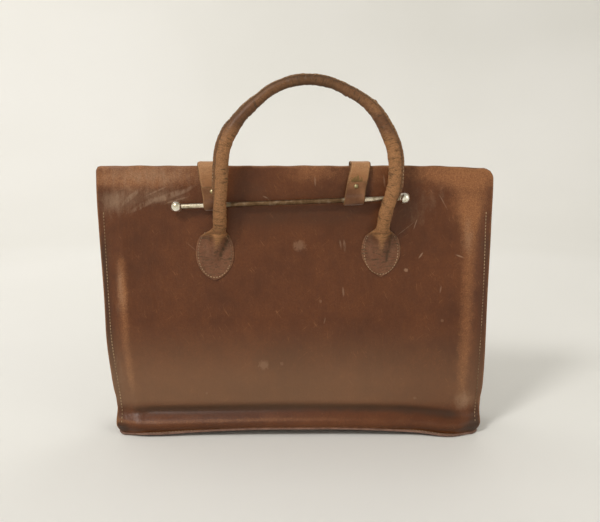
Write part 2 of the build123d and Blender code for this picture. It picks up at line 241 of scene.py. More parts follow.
OUTER, RIM, INNER = 0, 1, 2  # a sheet's materials: grain side, cut edge, flesh side


def leather_sheet(name, grid, normals, thickness, materials, lay=None, rim_steps=4, rim=0.55):
    """A closed sheet: the outer face, a rounded cut edge and the inner face, each with its
    own material. grid is the outer face, lay the same grid laid out straight."""
    rows, cols = grid.shape[:2]
    inner = grid - normals * thickness
    edge = border(rows, cols)
    er, ec = np.array(edge).T
    normal = normals[er, ec]
    out = grid[er, ec] - grid[np.clip(er, 1, rows - 2), np.clip(ec, 1, cols - 2)]
    out = unit(out - (out * normal).sum(1, keepdims=True) * normal)
    middle = (grid[er, ec] + inner[er, ec]) / 2
    count = rows * cols
    points = [grid.reshape(-1, 3), inner.reshape(-1, 3)]
    for step in range(1, rim_steps):
        angle = pi * step / rim_steps
        points.append(middle + normal * cos(angle) * thickness / 2 + out * sin(angle) * thickness * rim)
    points = np.vstack(points)

    faces, slots = [], []
    for r in range(rows - 1):
        for c in range(cols - 1):
            a = r * cols + c
            b, d, e = a + 1, a + cols + 1, a + cols
            faces += [(a, b, d, e), (e + count, d + count, b + count, a + count)]
            slots += [OUTER, INNER]
    n = len(edge)
    outer_loop = [r * cols + c for r, c in edge]
    loops = [range(2 * count + step * n, 2 * count + (step + 1) * n) for step in range(rim_steps - 1)]
    loops = [outer_loop, *loops, [k + count for k in outer_loop]]
    for first, second in zip(loops, loops[1:]):
        for k in range(n):
            faces.append((first[k], second[k], second[(k + 1) % n], first[(k + 1) % n]))
            slots.append(RIM)
    piece = build(name, points, faces, materials, slots)
    tree = kdtree.KDTree(n)
    for k in range(n):
        tree.insert(grid[er[k], ec[k]], k)
    tree.balance()
    keep(piece, edge=[tree.find(p)[2] for p in rest_of(piece)])
    if lay is not None:
        flat = lay.reshape(-1, 3)
        rims = [lay[er, ec] + (0, 0, thickness * step / rim_steps) for step in range(1, rim_steps)]
        keep(piece, lay=np.vstack([flat, flat + (0, 0, thickness)] + rims))
    return piece


def face_outward(mesh):
    """Turns every face outward on a closed mesh."""
    co = np.zeros(len(mesh.vertices) * 3)
    mesh.vertices.foreach_get("co", co)
    co = co.reshape(-1, 3)
    volume = 0.0
    for polygon in mesh.polygons:
        v = polygon.vertices
        for k in range(1, len(v) - 1):
            volume += np.dot(co[v[0]], np.cross(co[v[k]], co[v[k + 1]]))
    if volume < 0:
        mesh.flip_normals()
    mesh.update()


def tube_faces(rings, around, closed_ends=True):
    """Faces of a lofted tube whose rings follow one another in the point list."""
    faces = []
    for r in range(rings - 1):
        for k in range(around):
            a, b = r * around + k, r * around + (k + 1) % around
            faces.append((a, b, b + around, a + around))
    if closed_ends:
        faces.append(tuple(range(around - 1, -1, -1)))
        faces.append(tuple(range((rings - 1) * around, rings * around)))
    return faces


def stitches(name, points, outward, length, width):
    """Separate stitches, each an arched strand whose ends go down into the leather. points
    are the middles of the stitches in order, outward the leather's direction out, the same
    for all of them or one for each."""
    around, rings, sink = 6, 7, 0.15
    all_points, faces = [], []
    points = np.asarray(points, float)
    along_all = unit(np.gradient(points, axis=0))
    outward = np.broadcast_to(np.asarray(outward, float), points.shape)
    for p, along, up in zip(points, along_all, outward):
        up = unit(up - (up @ along) * along)
        side = np.cross(along, up)
        turn = RNG.normal(0, 0.07)
        along, side = along * cos(turn) + side * sin(turn), side * cos(turn) - along * sin(turn)
        own = length * (1 + RNG.normal(0, 0.04))
        start = len(all_points)
        for i in range(rings):
            t = -1 + 2 * i / (rings - 1)
            rise = width * 0.42 * (1 - t**4) - sink - width * 0.3 * t**4
            middle = p + along * t * own / 2 + up * rise
            radius = width / 2 * (1 - 0.35 * t**4)
            for k in range(around):
                a = 2 * pi * k / around
                all_points.append(middle + side * radius * cos(a) + up * radius * 0.8 * sin(a))
        faces += [tuple(start + v for v in face) for face in tube_faces(rings, around)]
    return build(name, np.array(all_points), faces, [THREAD])


# ---- Materials ----------------------------------------------------------------------------------
def srgb(red, green, blue):
    """A colour as seen, 0 to 255, in the linear numbers that the shaders take."""
    out = []
    for c in (red, green, blue):
        c /= 255
        out.append(c / 12.92 if c <= 0.04045 else ((c + 0.055) / 1.055) ** 2.4)
    return (*out, 1.0)


def between(first, second, share):
    """A colour part of the way from the first to the second."""
    return tuple(a + (b - a) * share for a, b in zip(first, second))


class Finish:
    """One material's nodes, with short names for the nodes that the materials share."""

    def __init__(self, name):
        self.material = bpy.data.materials.new(name)
        self.material.use_nodes = True
        self.tree = self.material.node_tree
        self.shader = self.tree.nodes["Principled BSDF"]

    def node(self, kind, inputs=(), **settings):
        """A new node. inputs are its sockets' values, or the sockets that feed them."""
        node = self.tree.nodes.new(kind)
        for key, value in settings.items():
            setattr(node, key, value)
        for key, value in dict(inputs).items():
            self.put(node.inputs[key], value)
        return node

    def put(self, socket, value):
        if isinstance(value, bpy.types.NodeSocket):
            self.tree.links.new(value, socket)
        else:
            socket.default_value = value

    def stored(self, name):
        return self.node("ShaderNodeAttribute", attribute_name=name).outputs["Fac"]

    def place(self, lay="rest"):
        return self.node("ShaderNodeAttribute", attribute_name=lay).outputs["Vector"]

    def object_place(self):
        """Where a CAD node's surface is, in millimetres."""
        coordinates = self.node("ShaderNodeTexCoord").outputs["Object"]
        return self.scaled(coordinates, (1 / MM, 1 / MM, 1 / MM))

    def part(self, vector, axis):
        """One coordinate of a vector."""
        return self.node("ShaderNodeSeparateXYZ", {0: vector}).outputs[axis]

    def length(self, vector):
        return self.node("ShaderNodeVectorMath", {0: vector}, operation="LENGTH").outputs["Value"]

    def scaled(self, vector, factors, shift=(0, 0, 0)):
        inputs = {"Vector": vector, "Scale": factors, "Location": shift}
        return self.node("ShaderNodeMapping", inputs).outputs["Vector"]

    def turned(self, vector, degrees):
        """Coordinates turned in the XZ plane."""
        inputs = {"Vector": vector, "Angle": radians(degrees)}
        return self.node("ShaderNodeVectorRotate", inputs, rotation_type="Y_AXIS").outputs["Vector"]

    def noise(self, vector, size, detail=3.0, rough=0.55, distortion=0.0):
        """Noise whose features are about size millimetres across, 0 to 1."""
        inputs = {"Vector": vector, "Scale": 1 / size, "Detail": detail}
        inputs.update({"Roughness": rough, "Distortion": distortion})
        return self.node("ShaderNodeTexNoise", inputs).outputs["Fac"]

    def cells(self, vector, size, feature, **inputs):
        inputs.update({"Vector": vector, "Scale": 1 / size})
        return self.node("ShaderNodeTexVoronoi", inputs, feature=feature).outputs["Distance"]

    def remap(self, value, low, high, to_low=0.0, to_high=1.0):
        inputs = {"Value": value, "From Min": low, "From Max": high}
        inputs.update({"To Min": to_low, "To Max": to_high})
        node = self.node("ShaderNodeMapRange", inputs, interpolation_type="SMOOTHSTEP")
        return node.outputs["Result"]

    def plus(self, first, second):
        return self.node("ShaderNodeMath", {0: first, 1: second}, operation="ADD").outputs["Value"]

    def times(self, first, second):
        node = self.node("ShaderNodeMath", {0: first, 1: second}, operation="MULTIPLY")
        return node.outputs["Value"]

    def mix(self, factor, first, second):
        return self.node("ShaderNodeMix", {0: factor, 6: first, 7: second}, data_type="RGBA").outputs[2]

    def masked(self, mask, pattern, low, high):
        """Where a stored mask and a pattern together pass a threshold, 0 to 1."""
        return self.remap(self.plus(mask, pattern), low, high)

    def spot(self, place, x, z, radius, ragged):
        """A small round mark on a face that looks along Y, with a ragged edge."""
        flat = self.scaled(place, (1, 0, 1), (-x, 0, -z))
        away = self.plus(self.length(flat), self.times(ragged, radius * 2.4))
        return self.remap(away, radius * 1.65, radius * 2.25, 1.0, 0.0)

    def scratch(self, place, x, z, length, angle, width):
        """A thin mark of the given length, turned by angle from the vertical."""
        moved = self.scaled(place, (1, 0, 1), (-x, 0, -z))
        squeezed = self.scaled(self.turned(moved, angle), (1 / width, 0, 2 / length))
        return self.remap(self.length(squeezed), 0.45, 1.0, 1.0, 0.0)

    def bumps(self, *layers):
        """Layered bump: (height, strength, distance in millimetres), the first one deepest."""
        normal = None
        for height, strength, distance in layers:
            inputs = {"Height": height, "Strength": strength, "Distance": distance * MM}
            if normal is not None:
                inputs["Normal"] = normal
            normal = self.node("ShaderNodeBump", inputs).outputs["Normal"]
        self.put(self.shader.inputs["Normal"], normal)

    def surface(self, colour, roughness, specular=0.5, metallic=0.0):
        self.put(self.shader.inputs["Base Color"], colour)
        self.put(self.shader.inputs["Roughness"], roughness)
        self.shader.inputs["Specular IOR Level"].default_value = specular
        self.shader.inputs["Metallic"].default_value = metallic
        return self.material


def grain_leather(name, deep, light, worn, grey, grime_and_shade, rough=0.44, marks=None, pore=1.3,
                  lay="rest", cracks=0.0, tab_tones=None):
    """Smooth-grained hide. The values that keep() stored as wear, dark and scuff say where
    it is rubbed through, dirty or scraped; wear also carries painted highlights and dark
    carries painted shade. Its edge distance lightens the rubbed rim.
    lay names the places that its pattern follows, cracks says how strongly it has cracked,
    and tab_tones are the two colours that the handle's tabs have in place of deep and light."""
    f = Finish(name)
    place = f.place(lay)
    broad = f.noise(place, 62, 2.0, 0.5)
    cloudy = f.noise(place, 17, 4.0, 0.6)
    fine = f.noise(place, 2.2, 4.0, 0.65)
    streaky = f.noise(f.scaled(place, (1, 1, 0.3)), 5.0, 4.0, 0.7)
    pores = f.cells(place, pore, "SMOOTH_F1", Smoothness=0.45)
    creases = f.cells(f.scaled(place, (1.0, 1.0, 0.75)), pore * 3.4, "DISTANCE_TO_EDGE")

    speck = f.noise(place, 1.3, 4.0, 0.75)
    smear = f.noise(f.scaled(place, (1, 1, 0.14)), 3.2, 4.0, 0.65)
    ragged = f.noise(place, 7.0, 8.0, 0.78, 0.6)
    broken = f.plus(f.times(ragged, 0.6), f.times(speck, 0.4))

    tone = f.plus(f.times(broad, 0.55), f.times(cloudy, 0.45))
    colour = f.mix(f.remap(tone, 0.24, 0.76), deep, light)
    if tab_tones is not None:
        colour = f.mix(f.stored("tab"), colour, f.mix(f.remap(tone, 0.24, 0.76), *tab_tones))
    colour = f.mix(f.remap(smear, 0.50, 0.72, 0.0, 0.32), colour, light)
    colour = f.mix(f.remap(fine, 0.35, 0.72, 0.0, 0.40), colour, deep)
    colour = f.mix(f.remap(speck, 0.55, 0.75, 0.0, 0.26), colour, between(light, worn, 0.4))

    # The wear mask holds real rubbing and also some painted highlights.
    worn_at = f.stored("wear")
    soft = f.masked(worn_at, f.times(cloudy, 0.6), 0.30, 1.25)
    wear = f.masked(worn_at, broken, 0.74, 1.26)
    rub = f.mix(f.remap(speck, 0.35, 0.65), between(light, worn, 0.45), worn)
    colour = f.mix(f.times(soft, 0.34), colour, between(light, worn, 0.5))
    colour = f.mix(f.times(wear, 0.85), colour, rub)
    scuff = f.masked(f.stored("scuff"), f.times(f.plus(streaky, broken), 0.5), 0.62, 1.30)
    colour = f.mix(f.times(scuff, 0.75), colour, grey)
    for turn, strength in ((34.0, 0.30), (-52.0, 0.22), (6.0, 0.20)):
        hair = f.noise(f.scaled(f.turned(place, turn), (1.0, 1.0, 0.05)), 1.1, 2.0, 0.5)
        lines = f.times(f.remap(hair, 0.66, 0.74), f.remap(cloudy, 0.42, 0.62))
        colour = f.mix(f.times(lines, strength), colour, worn)
    # The dark mask holds real dirt and also painted shade, both mixed towards the same dark colour.
    dark = f.masked(f.stored("dark"), f.times(cloudy, 0.6), 0.45, 1.15)
    colour = f.mix(f.times(dark, 0.80), colour, grime_and_shade)
    pitted = f.remap(pores, 0.10, 0.62, 0.0, 0.20)
    colour = f.mix(pitted, colour, deep)
    rubbed = f.times(f.remap(f.stored("edge"), 0.1, 1.8, 1.0, 0.0), f.remap(ragged, 0.35, 0.65))
    colour = f.mix(f.times(rubbed, 0.4), colour, worn)
    if cracks > 0:
        split = f.noise(f.scaled(place, (1.0, 0.25, 0.25)), 2.1, 6.0, 0.72, 0.9)
        crack = f.times(f.remap(split, 0.36, 0.50, 1.0, 0.0), f.remap(cloudy, 0.30, 0.52, 0.35, 1.0))
        rubbed_off = f.remap(ragged, 0.50, 0.66, 0.0, 0.55 * cracks)
        colour = f.mix(rubbed_off, colour, between(deep, grime_and_shade, 0.5))
        colour = f.mix(f.times(crack, cracks), colour, grime_and_shade)
    if marks is not None:
        colour = marks(f, f.place(), colour, fine, streaky)
    rubbing = f.plus(wear, f.times(cloudy, 0.6))
    roughness = f.remap(rubbing, 0.1, 1.5, rough - 0.06, rough + 0.24)
    folds = f.remap(creases, 0.0, 0.25)
    layers = [(cloudy, 0.22, 1.0), (folds, 0.16, 0.25), (pores, 0.30, 0.22), (fine, 0.25, 0.25)]
    if cracks > 0:
        layers.insert(1, (crack, -0.6, 0.5))
    f.bumps(*layers)
    return f.surface(colour, roughness, specular=0.32)


def cut_edge(name, light, dark):
    """The cut edge of a hide: pale fibres, dirty in the hollows."""
    f = Finish(name)
    place = f.place()
    fibres = f.noise(place, 0.9, 4.0, 0.7)
    patches = f.noise(place, 9, 3.0)
    colour = f.mix(f.remap(patches, 0.25, 0.80, 0.2, 0.9), dark, light)
    colour = f.mix(f.remap(fibres, 0.3, 0.7, 0.0, 0.5), colour, dark)
    f.bumps((fibres, 0.5, 0.4))
    return f.surface(colour, f.remap(fibres, 0.2, 0.8, 0.7, 0.9), specular=0.25)


def flesh_side(name, light, dark):
    """The napped inside of the hide."""
    f = Finish(name)
    place = f.place()
    nap = f.noise(place, 0.8, 5.0, 0.75)
    cloudy = f.noise(place, 24, 4.0, 0.6)
    colour = f.mix(f.remap(cloudy, 0.35, 0.65), dark, light)
    colour = f.mix(f.remap(nap, 0.3, 0.7, 0.0, 0.45), colour, dark)
    f.bumps((cloudy, 0.2, 0.8), (nap, 0.6, 0.5))
    f.shader.inputs["Sheen Weight"].default_value = 0.25
    f.shader.inputs["Sheen Roughness"].default_value = 0.5
    return f.surface(colour, f.remap(nap, 0.3, 0.7, 0.82, 0.96), specular=0.15)


def waxed_thread(name, light, dark):
    f = Finish(name)
    place = f.place()
    twist = f.noise(place, 0.45, 3.0, 0.6)
    dirt = f.noise(place, 26, 3.0, 0.6)
    colour = f.mix(f.remap(dirt, 0.36, 0.62), dark, light)
    colour = f.mix(f.remap(twist, 0.35, 0.7, 0.0, 0.5), colour, dark)
    f.bumps((twist, 0.5, 0.2))
    return f.surface(colour, f.remap(twist, 0.3, 0.7, 0.5, 0.75), specular=0.3)


def plated_metal(name, bright, dull, from_object=False, rough=0.22, tarnish=None):
    """Old nickel plate: bright where it is rubbed, duller and warmer in patches. Between the
    two X places given by tarnish the plate has gone brown."""
    f = Finish(name)
    place = f.object_place() if from_object else f.place()
    haze = f.noise(place, 7, 4.0, 0.6)
    pits = f.noise(place, 0.9, 3.0, 0.7)
    drawn = f.noise(f.scaled(place, (0.08, 1, 1)), 0.5, 2.0, 0.5)
    colour = f.mix(f.remap(haze, 0.4, 0.68), bright, dull)
    colour = f.mix(f.remap(pits, 0.60, 0.78, 0.0, 0.6), colour, dull)
    roughness = f.remap(haze, 0.35, 0.7, rough, rough + 0.22)
    if tarnish is not None:
        x = f.part(place, "X")
        start = f.remap(x, tarnish[0] - 3, tarnish[0] + 3)
        stop = f.remap(x, tarnish[1] - 3, tarnish[1] + 3, 1.0, 0.0)
        brown = f.times(f.times(start, stop), f.remap(haze, 0.25, 0.5, 0.86, 1.0))
        rust = f.mix(f.remap(haze, 0.3, 0.7), srgb(118, 92, 66), srgb(92, 70, 48))
        colour = f.mix(brown, colour, rust)
        roughness = f.plus(roughness, f.times(brown, 0.18))
    f.bumps((drawn, 0.06, 0.05), (pits, 0.12, 0.06))
    return f.surface(colour, roughness, metallic=1.0)


def twisted_cord(name, light, dark):
    f = Finish(name)
    place = f.place()
    strands = f.noise(f.scaled(place, (1, 1, 0.4)), 1.4, 3.0, 0.6)
    colour = f.mix(f.remap(strands, 0.35, 0.65), dark, light)
    f.bumps((strands, 0.7, 0.6))
    return f.surface(colour, f.remap(strands, 0.3, 0.7, 0.75, 0.95), specular=0.2)


def panel_marks(f, place, colour, fine, streaky):
    """Marks at their places on the front panel: a painted sheen over its lower half, spots, scrapes,
    nicks.
    """
    pale = srgb(152, 118, 92)
    chalk = srgb(176, 148, 122)
    height = f.part(place, "Z")
    # Painted sheen: the lower half is mixed paler, a painted reflection of the bright floor.
    floor_sheen = f.times(f.remap(height, 125, 42, 0.0, 0.44), f.remap(height, 24, 38))
    floor_sheen = f.times(floor_sheen, f.remap(f.part(place, "X"), 40, 180, 1.0, 0.62))
    colour = f.mix(floor_sheen, colour, srgb(140, 108, 80))
    rough_rim = f.plus(f.times(fine, 0.4), f.times(streaky, 0.6))
    for x, z, radius, strength in (
        (4, 197, 7.0, 0.42), (-33, 74, 6.0, 0.42), (-14, 75, 2.6, 0.3), (113, 172, 2.3, 0.75),
        (26, 140, 1.6, 0.35), (124, 38, 2.0, 0.3), (-92, 44, 1.6, 0.3), (151, 120, 1.8, 0.3),
    ):
        mark = f.spot(place, x, z, radius, rough_rim)
        colour = f.mix(f.times(mark, strength * 0.85), colour, pale)
    for x, z, length, angle, width, strength in (
        (128, 187, 9, -35, 1.0, 0.55), (122, 219, 13, -18, 0.7, 0.55), (112, 214, 26, -52, 0.5, 0.35),
        (50, 197, 15, 6, 1.6, 0.32), (46, 198, 12, 8, 1.2, 0.28), (49, 150, 12, 5, 1.3, 0.3),
        (150, 241, 22, 30, 0.6, 0.35), (149, 152, 9, -10, 0.9, 0.3), (168, 186, 11, 70, 1.0, 0.5),
        (-128, 247, 44, -70, 4.0, 0.30), (-152, 239, 40, -62, 3.4, 0.30), (-110, 253, 26, -62, 2.6, 0.24),
        (-120, 243, 30, -74, 1.4, 0.30), (-166, 246, 34, -50, 3.0, 0.26), (-140, 252, 30, -66, 1.2, 0.26),
        (-30, 246, 8, 65, 0.9, 0.35), (-26, 243, 5, 60, 0.8, 0.3), (-104, 195, 24, 50, 0.5, 0.2),
        (20, 262, 12, 4, 1.0, 0.3), (90, 262, 16, 8, 1.2, 0.3), (30, 120, 9, -12, 0.8, 0.2),
    ):
        mark = f.scratch(place, x, z, length, angle, width)
        mark = f.times(mark, f.remap(streaky, 0.3, 0.55))
        colour = f.mix(f.times(mark, strength * 0.8), colour, chalk)
    return colour


def strap_marks(f, place, colour, fine, streaky):
    """The green stain that the rivet left on the right strap."""
    x = STRAP_LOOP_X["right"] + 2
    stain = f.spot(place, x, BALL_RIGHT[2] + 14.5, 8.5, fine)
    stain = f.times(stain, f.remap(f.part(place, "Y"), -8, -4, 1.0, 0.0))
    return f.mix(f.times(stain, 0.7), colour, srgb(92, 80, 32))


PANEL_HIDE = grain_leather(
    "panel_hide", srgb(74, 37, 11), srgb(106, 58, 25), srgb(166, 112, 70), srgb(164, 136, 110),
    srgb(44, 31, 18), marks=panel_marks,
)
REAR_HIDE = grain_leather(
    "rear_hide", srgb(78, 43, 20), srgb(108, 63, 34), srgb(160, 110, 70), srgb(158, 130, 106),
    srgb(44, 31, 18),
)
GUSSET_HIDE = grain_leather(
    "gusset_hide", srgb(78, 46, 28), srgb(102, 62, 40), srgb(150, 104, 68), srgb(158, 130, 108),
    srgb(44, 30, 22), rough=0.5,
)
HANDLE_HIDE = grain_leather(
    "handle_hide", srgb(84, 52, 29), srgb(116, 76, 45), srgb(178, 128, 82), srgb(160, 128, 98),
    srgb(58, 40, 17), rough=0.5, pore=1.0, lay="lay", cracks=0.80,
    tab_tones=(srgb(92, 53, 32), srgb(128, 80, 54)),
)
STRAP_HIDE = grain_leather(
    "strap_hide", srgb(140, 94, 58), srgb(168, 118, 76), srgb(196, 150, 106), srgb(158, 138, 118),
    srgb(84, 60, 34), rough=0.42, marks=strap_marks, pore=1.0, lay="lay", cracks=0.3,
)
CUT_EDGE = cut_edge("cut_edge", srgb(176, 132, 96), srgb(98, 62, 40))
DARK_EDGE = cut_edge("dark_edge", srgb(158, 124, 108), srgb(92, 66, 54))
STRAP_EDGE = cut_edge("strap_edge", srgb(164, 122, 82), srgb(88, 58, 34))
FLESH = flesh_side("flesh_side", srgb(142, 100, 68), srgb(96, 62, 40))
THREAD = waxed_thread("waxed_thread", srgb(184, 156, 120), srgb(112, 86, 60))
NICKEL = plated_metal("nickel", srgb(250, 246, 232), srgb(198, 188, 162), True, 0.14)
ROD_METAL = plated_metal(
    "rod_metal", srgb(226, 214, 190), srgb(150, 134, 104), True, 0.24, tarnish=(-66.0, 48.0)
)
RIVET_METAL = plated_metal("rivet_metal", srgb(206, 192, 150), srgb(128, 116, 74), rough=0.3)
WASHER_METAL = plated_metal("washer_metal", srgb(190, 176, 134), srgb(118, 104, 66), True, 0.35)
CORD = twisted_cord("core_cord", srgb(196, 176, 140), srgb(140, 116, 84))


# ---- The body's shape ---------------------------------------------------------------------------
def down_share(z):
    """How far z is from the gussets' top down to the panels' foot, 0 to 1."""
    return np.clip((GUSSET_TOP - np.asarray(z, float)) / (GUSSET_TOP - FOOT_EDGE), 0, 1)


def side_x(z):
    """Half the panels' width at height z."""
    down = down_share(z)
    return HALF_TOP - (HALF_TOP - HALF_FOOT) * down + 1.3 * np.sin(pi * down)


def lean(z):
    """How far the whole bag leans to its right at height z."""
    return 1.0 * np.sin(pi * down_share(z))


def left_tuck(z):
    """How far the left side narrows towards the foot."""
    return 6.5 * smooth(-np.asarray(z, float), -112, -20)


def shifted(x, z):
    """Where the lean and the narrower left foot put a point of the even shape."""
    return x + lean(z) + left_tuck(z) * (1 - x / side_x(z)) / 2


def unshifted(x, z):
    """The point of the even shape that shifted() puts at x."""
    tuck = left_tuck(z)
    return (x - lean(z) - tuck / 2) / (1 - tuck / (2 * side_x(z)))


def lump(x):
    """Where the foot has slumped forward: mostly near its right corner, 0 to 1."""
    x = np.asarray(x, float)
    return np.exp(-(((x - 158) / 24) ** 2)) + 0.3 * np.exp(-(((x + 152) / 28) ** 2))


def turn_back(x, z):
    """How far the panel's sides turn towards the rear, outside the rubbed ridge."""
    beyond = np.abs(x) - (side_x(z) - 25)
    share = np.clip(beyond / 25, 0, 1)
    amount = 5.4 - 3.6 * smooth(z, 215, 262)
    return amount * share**1.7 - 0.9 * np.exp(-(((beyond - 2) / 7.0) ** 2)) * (1 - smooth(z, 190, 225))


def groove_z(x):
    """Height of the groove over the foot's roll: it drops to the right corner."""
    return 25.0 + 2.0 * hump(x, 0, 90) - 5.0 * smooth(x, 100, 175)


def foot_roll(x, z):
    """How far the panel's foot stands out: a groove, then the roll below it."""
    middle = 1 - 0.55 * smooth(np.abs(x), 150, 186)
    roll = 4.8 * hump(z, 12.0, 7.5)
    low = groove_z(x)
    groove = -3.4 * hump(z, low, 5.5) - 1.5 * hump(z, low + 12, 12.0)
    return roll * (0.75 + 0.25 * middle) + groove * middle


def slack(x, z, phase):
    """Soft unevenness of an old hide, towards the inside only."""
    wave = np.sin(x / 47 + phase) * np.sin(z / 38 + 1.3 * phase) + 0.6 * np.sin(x / 23 - z / 31 + phase)
    ripple = 0.35 * np.sin(x / 11 + 2.1 * phase + 0.4 * np.sin(z / 17))
    near_tabs = np.maximum(patch(x, z, -81, 190, 34, 42), patch(x, z, 87, 190, 34, 42))
    calm = 1 - 0.85 * near_tabs
    return -(0.55 + 0.3 * wave + 0.18 * ripple) * calm * smooth(z, 40, 80)


def face_y(x, z, phase=0.0):
    """Distance of a panel's outer face from the plane Y = 0."""
    z = np.asarray(z, float)
    x = unshifted(np.asarray(x, float), z)
    slope = BASE_HALF_DEPTH - SLOPE * z + LEATHER / 2
    slump = SLUMP * lump(x) * smooth(-z, -34, -8)
    return slope + foot_roll(x, z) + slack(x, z, phase) - turn_back(x, z) + slump


def base_arch(x):
    """The middle of the base stands off the ground, and the corners touch it."""
    return 4.2 * (1 - smooth(np.abs(x), 30, 168))


def base_rim(x):
    """How far the base's long rims turn up."""
    return 2.6 - 2.1 * lump(x)


def foot_edge_z(x):
    """Lower edge of a panel."""
    corner = smooth(np.abs(x), 160, 184)
    return (base_rim(x) + 2.6) * (1 - corner) + FOOT_CORNER_Z * corner + base_arch(x)


def mouth_edge_z(x, droop):
    """Upper edge of a panel: nearly straight, uneven, drooping at one end."""
    nibble = 0.25 * np.sin(x / 9.0) * np.sin(x / 31.0 + 1) + 0.2 * np.sin(x / 4.3)
    return MOUTH - droop * smooth(x, 130, 205) + nibble


def round_corner(x, z, corner_x, corner_z, radius, side, up):
    """Moves the points near a square corner onto a round one."""
    a = np.clip((side * (x - corner_x) + radius) / radius, 0, None)
    b = np.clip((up * (z - corner_z) + radius) / radius, 0, None)
    inside = (a > 0) & (b > 0)
    a1 = np.clip(a, 0, 1)
    b1 = np.clip(b, 0, 1)
    new_a = a1 * np.sqrt(1 - b1**2 / 2)
    new_b = b1 * np.sqrt(1 - a1**2 / 2)
    x = np.where(inside, corner_x + side * (new_a - 1) * radius, x)
    z = np.where(inside, corner_z + up * (new_b - 1) * radius, z)
    return x, z


def panel_grid(phase, droop, corner_left, corner_right):
    """Outer face of a panel in X and Z, as rows from the mouth to the foot."""
    across = spaced(-1, 1, 171, 0.25)
    t = np.concatenate([np.linspace(0, 0.84, 74, endpoint=False), np.linspace(0.84, 1, 34)])
    t = 0.97 * t + 0.03 * (1 - np.cos(pi * t)) / 2
    u, v = np.meshgrid(across, t)
    wobble = 0.8 * np.sin(v * 9 + phase) * np.abs(u) ** 8
    rough_x = u * HALF_TOP
    top = mouth_edge_z(rough_x, droop)
    low = foot_edge_z(u * HALF_FOOT)
    z = top + (low - top) * v
    x = u * side_x(z) + np.sign(u) * wobble * np.sin(pi * v)
    pinch = 1.6 * hump(z, 33, 9) * np.abs(u) ** 10
    x = shifted(x - np.sign(u) * pinch, z)
    x, z = round_corner(x, z, -HALF_TOP, MOUTH, corner_left, -1, 1)
    x, z = round_corner(x, z, HALF_TOP, MOUTH - droop, corner_right, 1, 1)
    for side in (-1, 1):
        corner = float(shifted(side * HALF_FOOT, FOOT_CORNER_Z))
        x, z = round_corner(x, z, corner, FOOT_CORNER_Z, FOOT_CORNER, side, -1)
    return x, z


def front_wear_and_light(x, z):
    """Where the front panel is rubbed, dirty or scraped, and where highlight and shade are painted on it.
    """
    edge_in = side_x(z) - np.abs(unshifted(x, z))
    left, right = x < 0, x > 0
    up_left = 0.50 * smooth(z, 22, 60) * (1 - smooth(z, 178, 205)) + 0.25 * hump(z, 150, 16)
    up_right = 0.52 * smooth(z, 24, 60) * (1 - smooth(z, 236, 250))
    ridges = hump(edge_in, 21, 6.5) * left * up_left + hump(edge_in, 22, 10.5) * right * up_right
    uneven = 0.75 + 0.25 * np.sin(x / 13 + 0.7 * np.sin(x / 7)) * np.sin(x / 29 + 1.2)
    band = 0.42 * uneven * smooth(z, 250, 277) + 0.12 * smooth(z, 236, 262)
    band = band * (1 - 0.40 * smooth(x, 70, 120) * (1 - smooth(x, 150, 180)))
    band = band * (1 - 0.75 * patch(x, z, -30, 262, 30, 20)) * (1 - 0.35 * patch(x, z, 45, 262, 40, 18))
    corners = patches(
        x, z, (0.52, 177, 244, 25, 32), (0.35, 150, 268, 48, 12), (0.16, 20, 266, 50, 8),
        (0.40, -165, 262, 60, 12), (0.12, -190, 60, 10, 60), (0.35, 178, 34, 13, 12),
        (0.2, -182, 20, 10, 14),
    )
    # roll is a painted highlight along the upper side of the foot's roll, lessened near the foot's edge.
    roll = 0.44 * hump(z, groove_z(x) - 9.5, 2.4) * (1 - 0.5 * smooth(x, -20, 140)) - 0.1 * hump(z, 7, 4)
    wear = ridges + band + corners + roll
    outer = 0.42 * smooth(-edge_in, -17, -6) * (1 - smooth(z, 195, 225))
    # The hump at the groove's height is painted shade in the groove over the foot's roll.
    dark = outer + 0.75 * hump(z, groove_z(x) + 1.5, 6.0) * (1 - smooth(np.abs(x), 158, 182))
    dark = dark + 0.42 * hump(z, 8, 6) + 0.22 * hump(edge_in, 3, 3) * left * smooth(z, 20, 50)
    # The wide patch at (0, 226) is painted shadow of the bar and handle on the panel, with some grime in
    # it.
    dark = dark + 0.35 * patch(x, z, -150, 240, 45, 12) * (z < 256) + patches(
        x, z, (0.50, 0, 226, 95, 15), (0.34, -46, 257, 28, 15), (0.30, 118, 236, 26, 26),
        (0.30, 183, 12, 14, 12),
    )
    scuff = patches(
        x, z, (0.44, -182, 240, 22, 16), (0.36, -135, 246, 36, 9), (0.35, -178, 150, 7, 34),
        (0.36, 176, 205, 8, 26), (0.46, 175, 36, 14, 13), (0.20, 140, 250, 36, 16),
        (0.20, 120, 226, 22, 16), (0.28, -186, 60, 12, 40), (0.45, -145, 268, 62, 12),
    )
    return wear, dark, scuff


def rear_wear_and_light(x, z):
    """The rear panel, which has no handle or bar over it, with a highlight and shade painted at its foot.
    """
    edge_in = side_x(z) - np.abs(x)
    # Of the wear, hump(z, 16, 6.5) is a painted highlight on the foot's roll.
    wear = (
        0.50 * hump(edge_in, 21, 7) * smooth(z, 22, 60) * (1 - smooth(z, 200, 230))
        + 0.55 * smooth(z, 262, 273) + 0.3 * hump(z, 16, 6.5) + 0.25 * patch(x, z, 20, 120, 90, 50)
        + 0.45 * patch(np.abs(x), z, 186, 262, 22, 14)
    )
    # hump(z, 31, 6.5) is painted shade in the groove over the foot's roll.
    dark = 0.5 * hump(z, 31, 6.5) + 0.3 * smooth(-edge_in, -17, -6) + 0.2 * patch(x, z, -70, 190, 50, 40)
    scuff = 0.4 * patch(x, z, 60, 90, 80, 30) + 0.35 * patch(x, z, -120, 150, 30, 60)
    scuff = scuff + 0.3 * smooth(z, 250, 275)
    return wear, dark, scuff


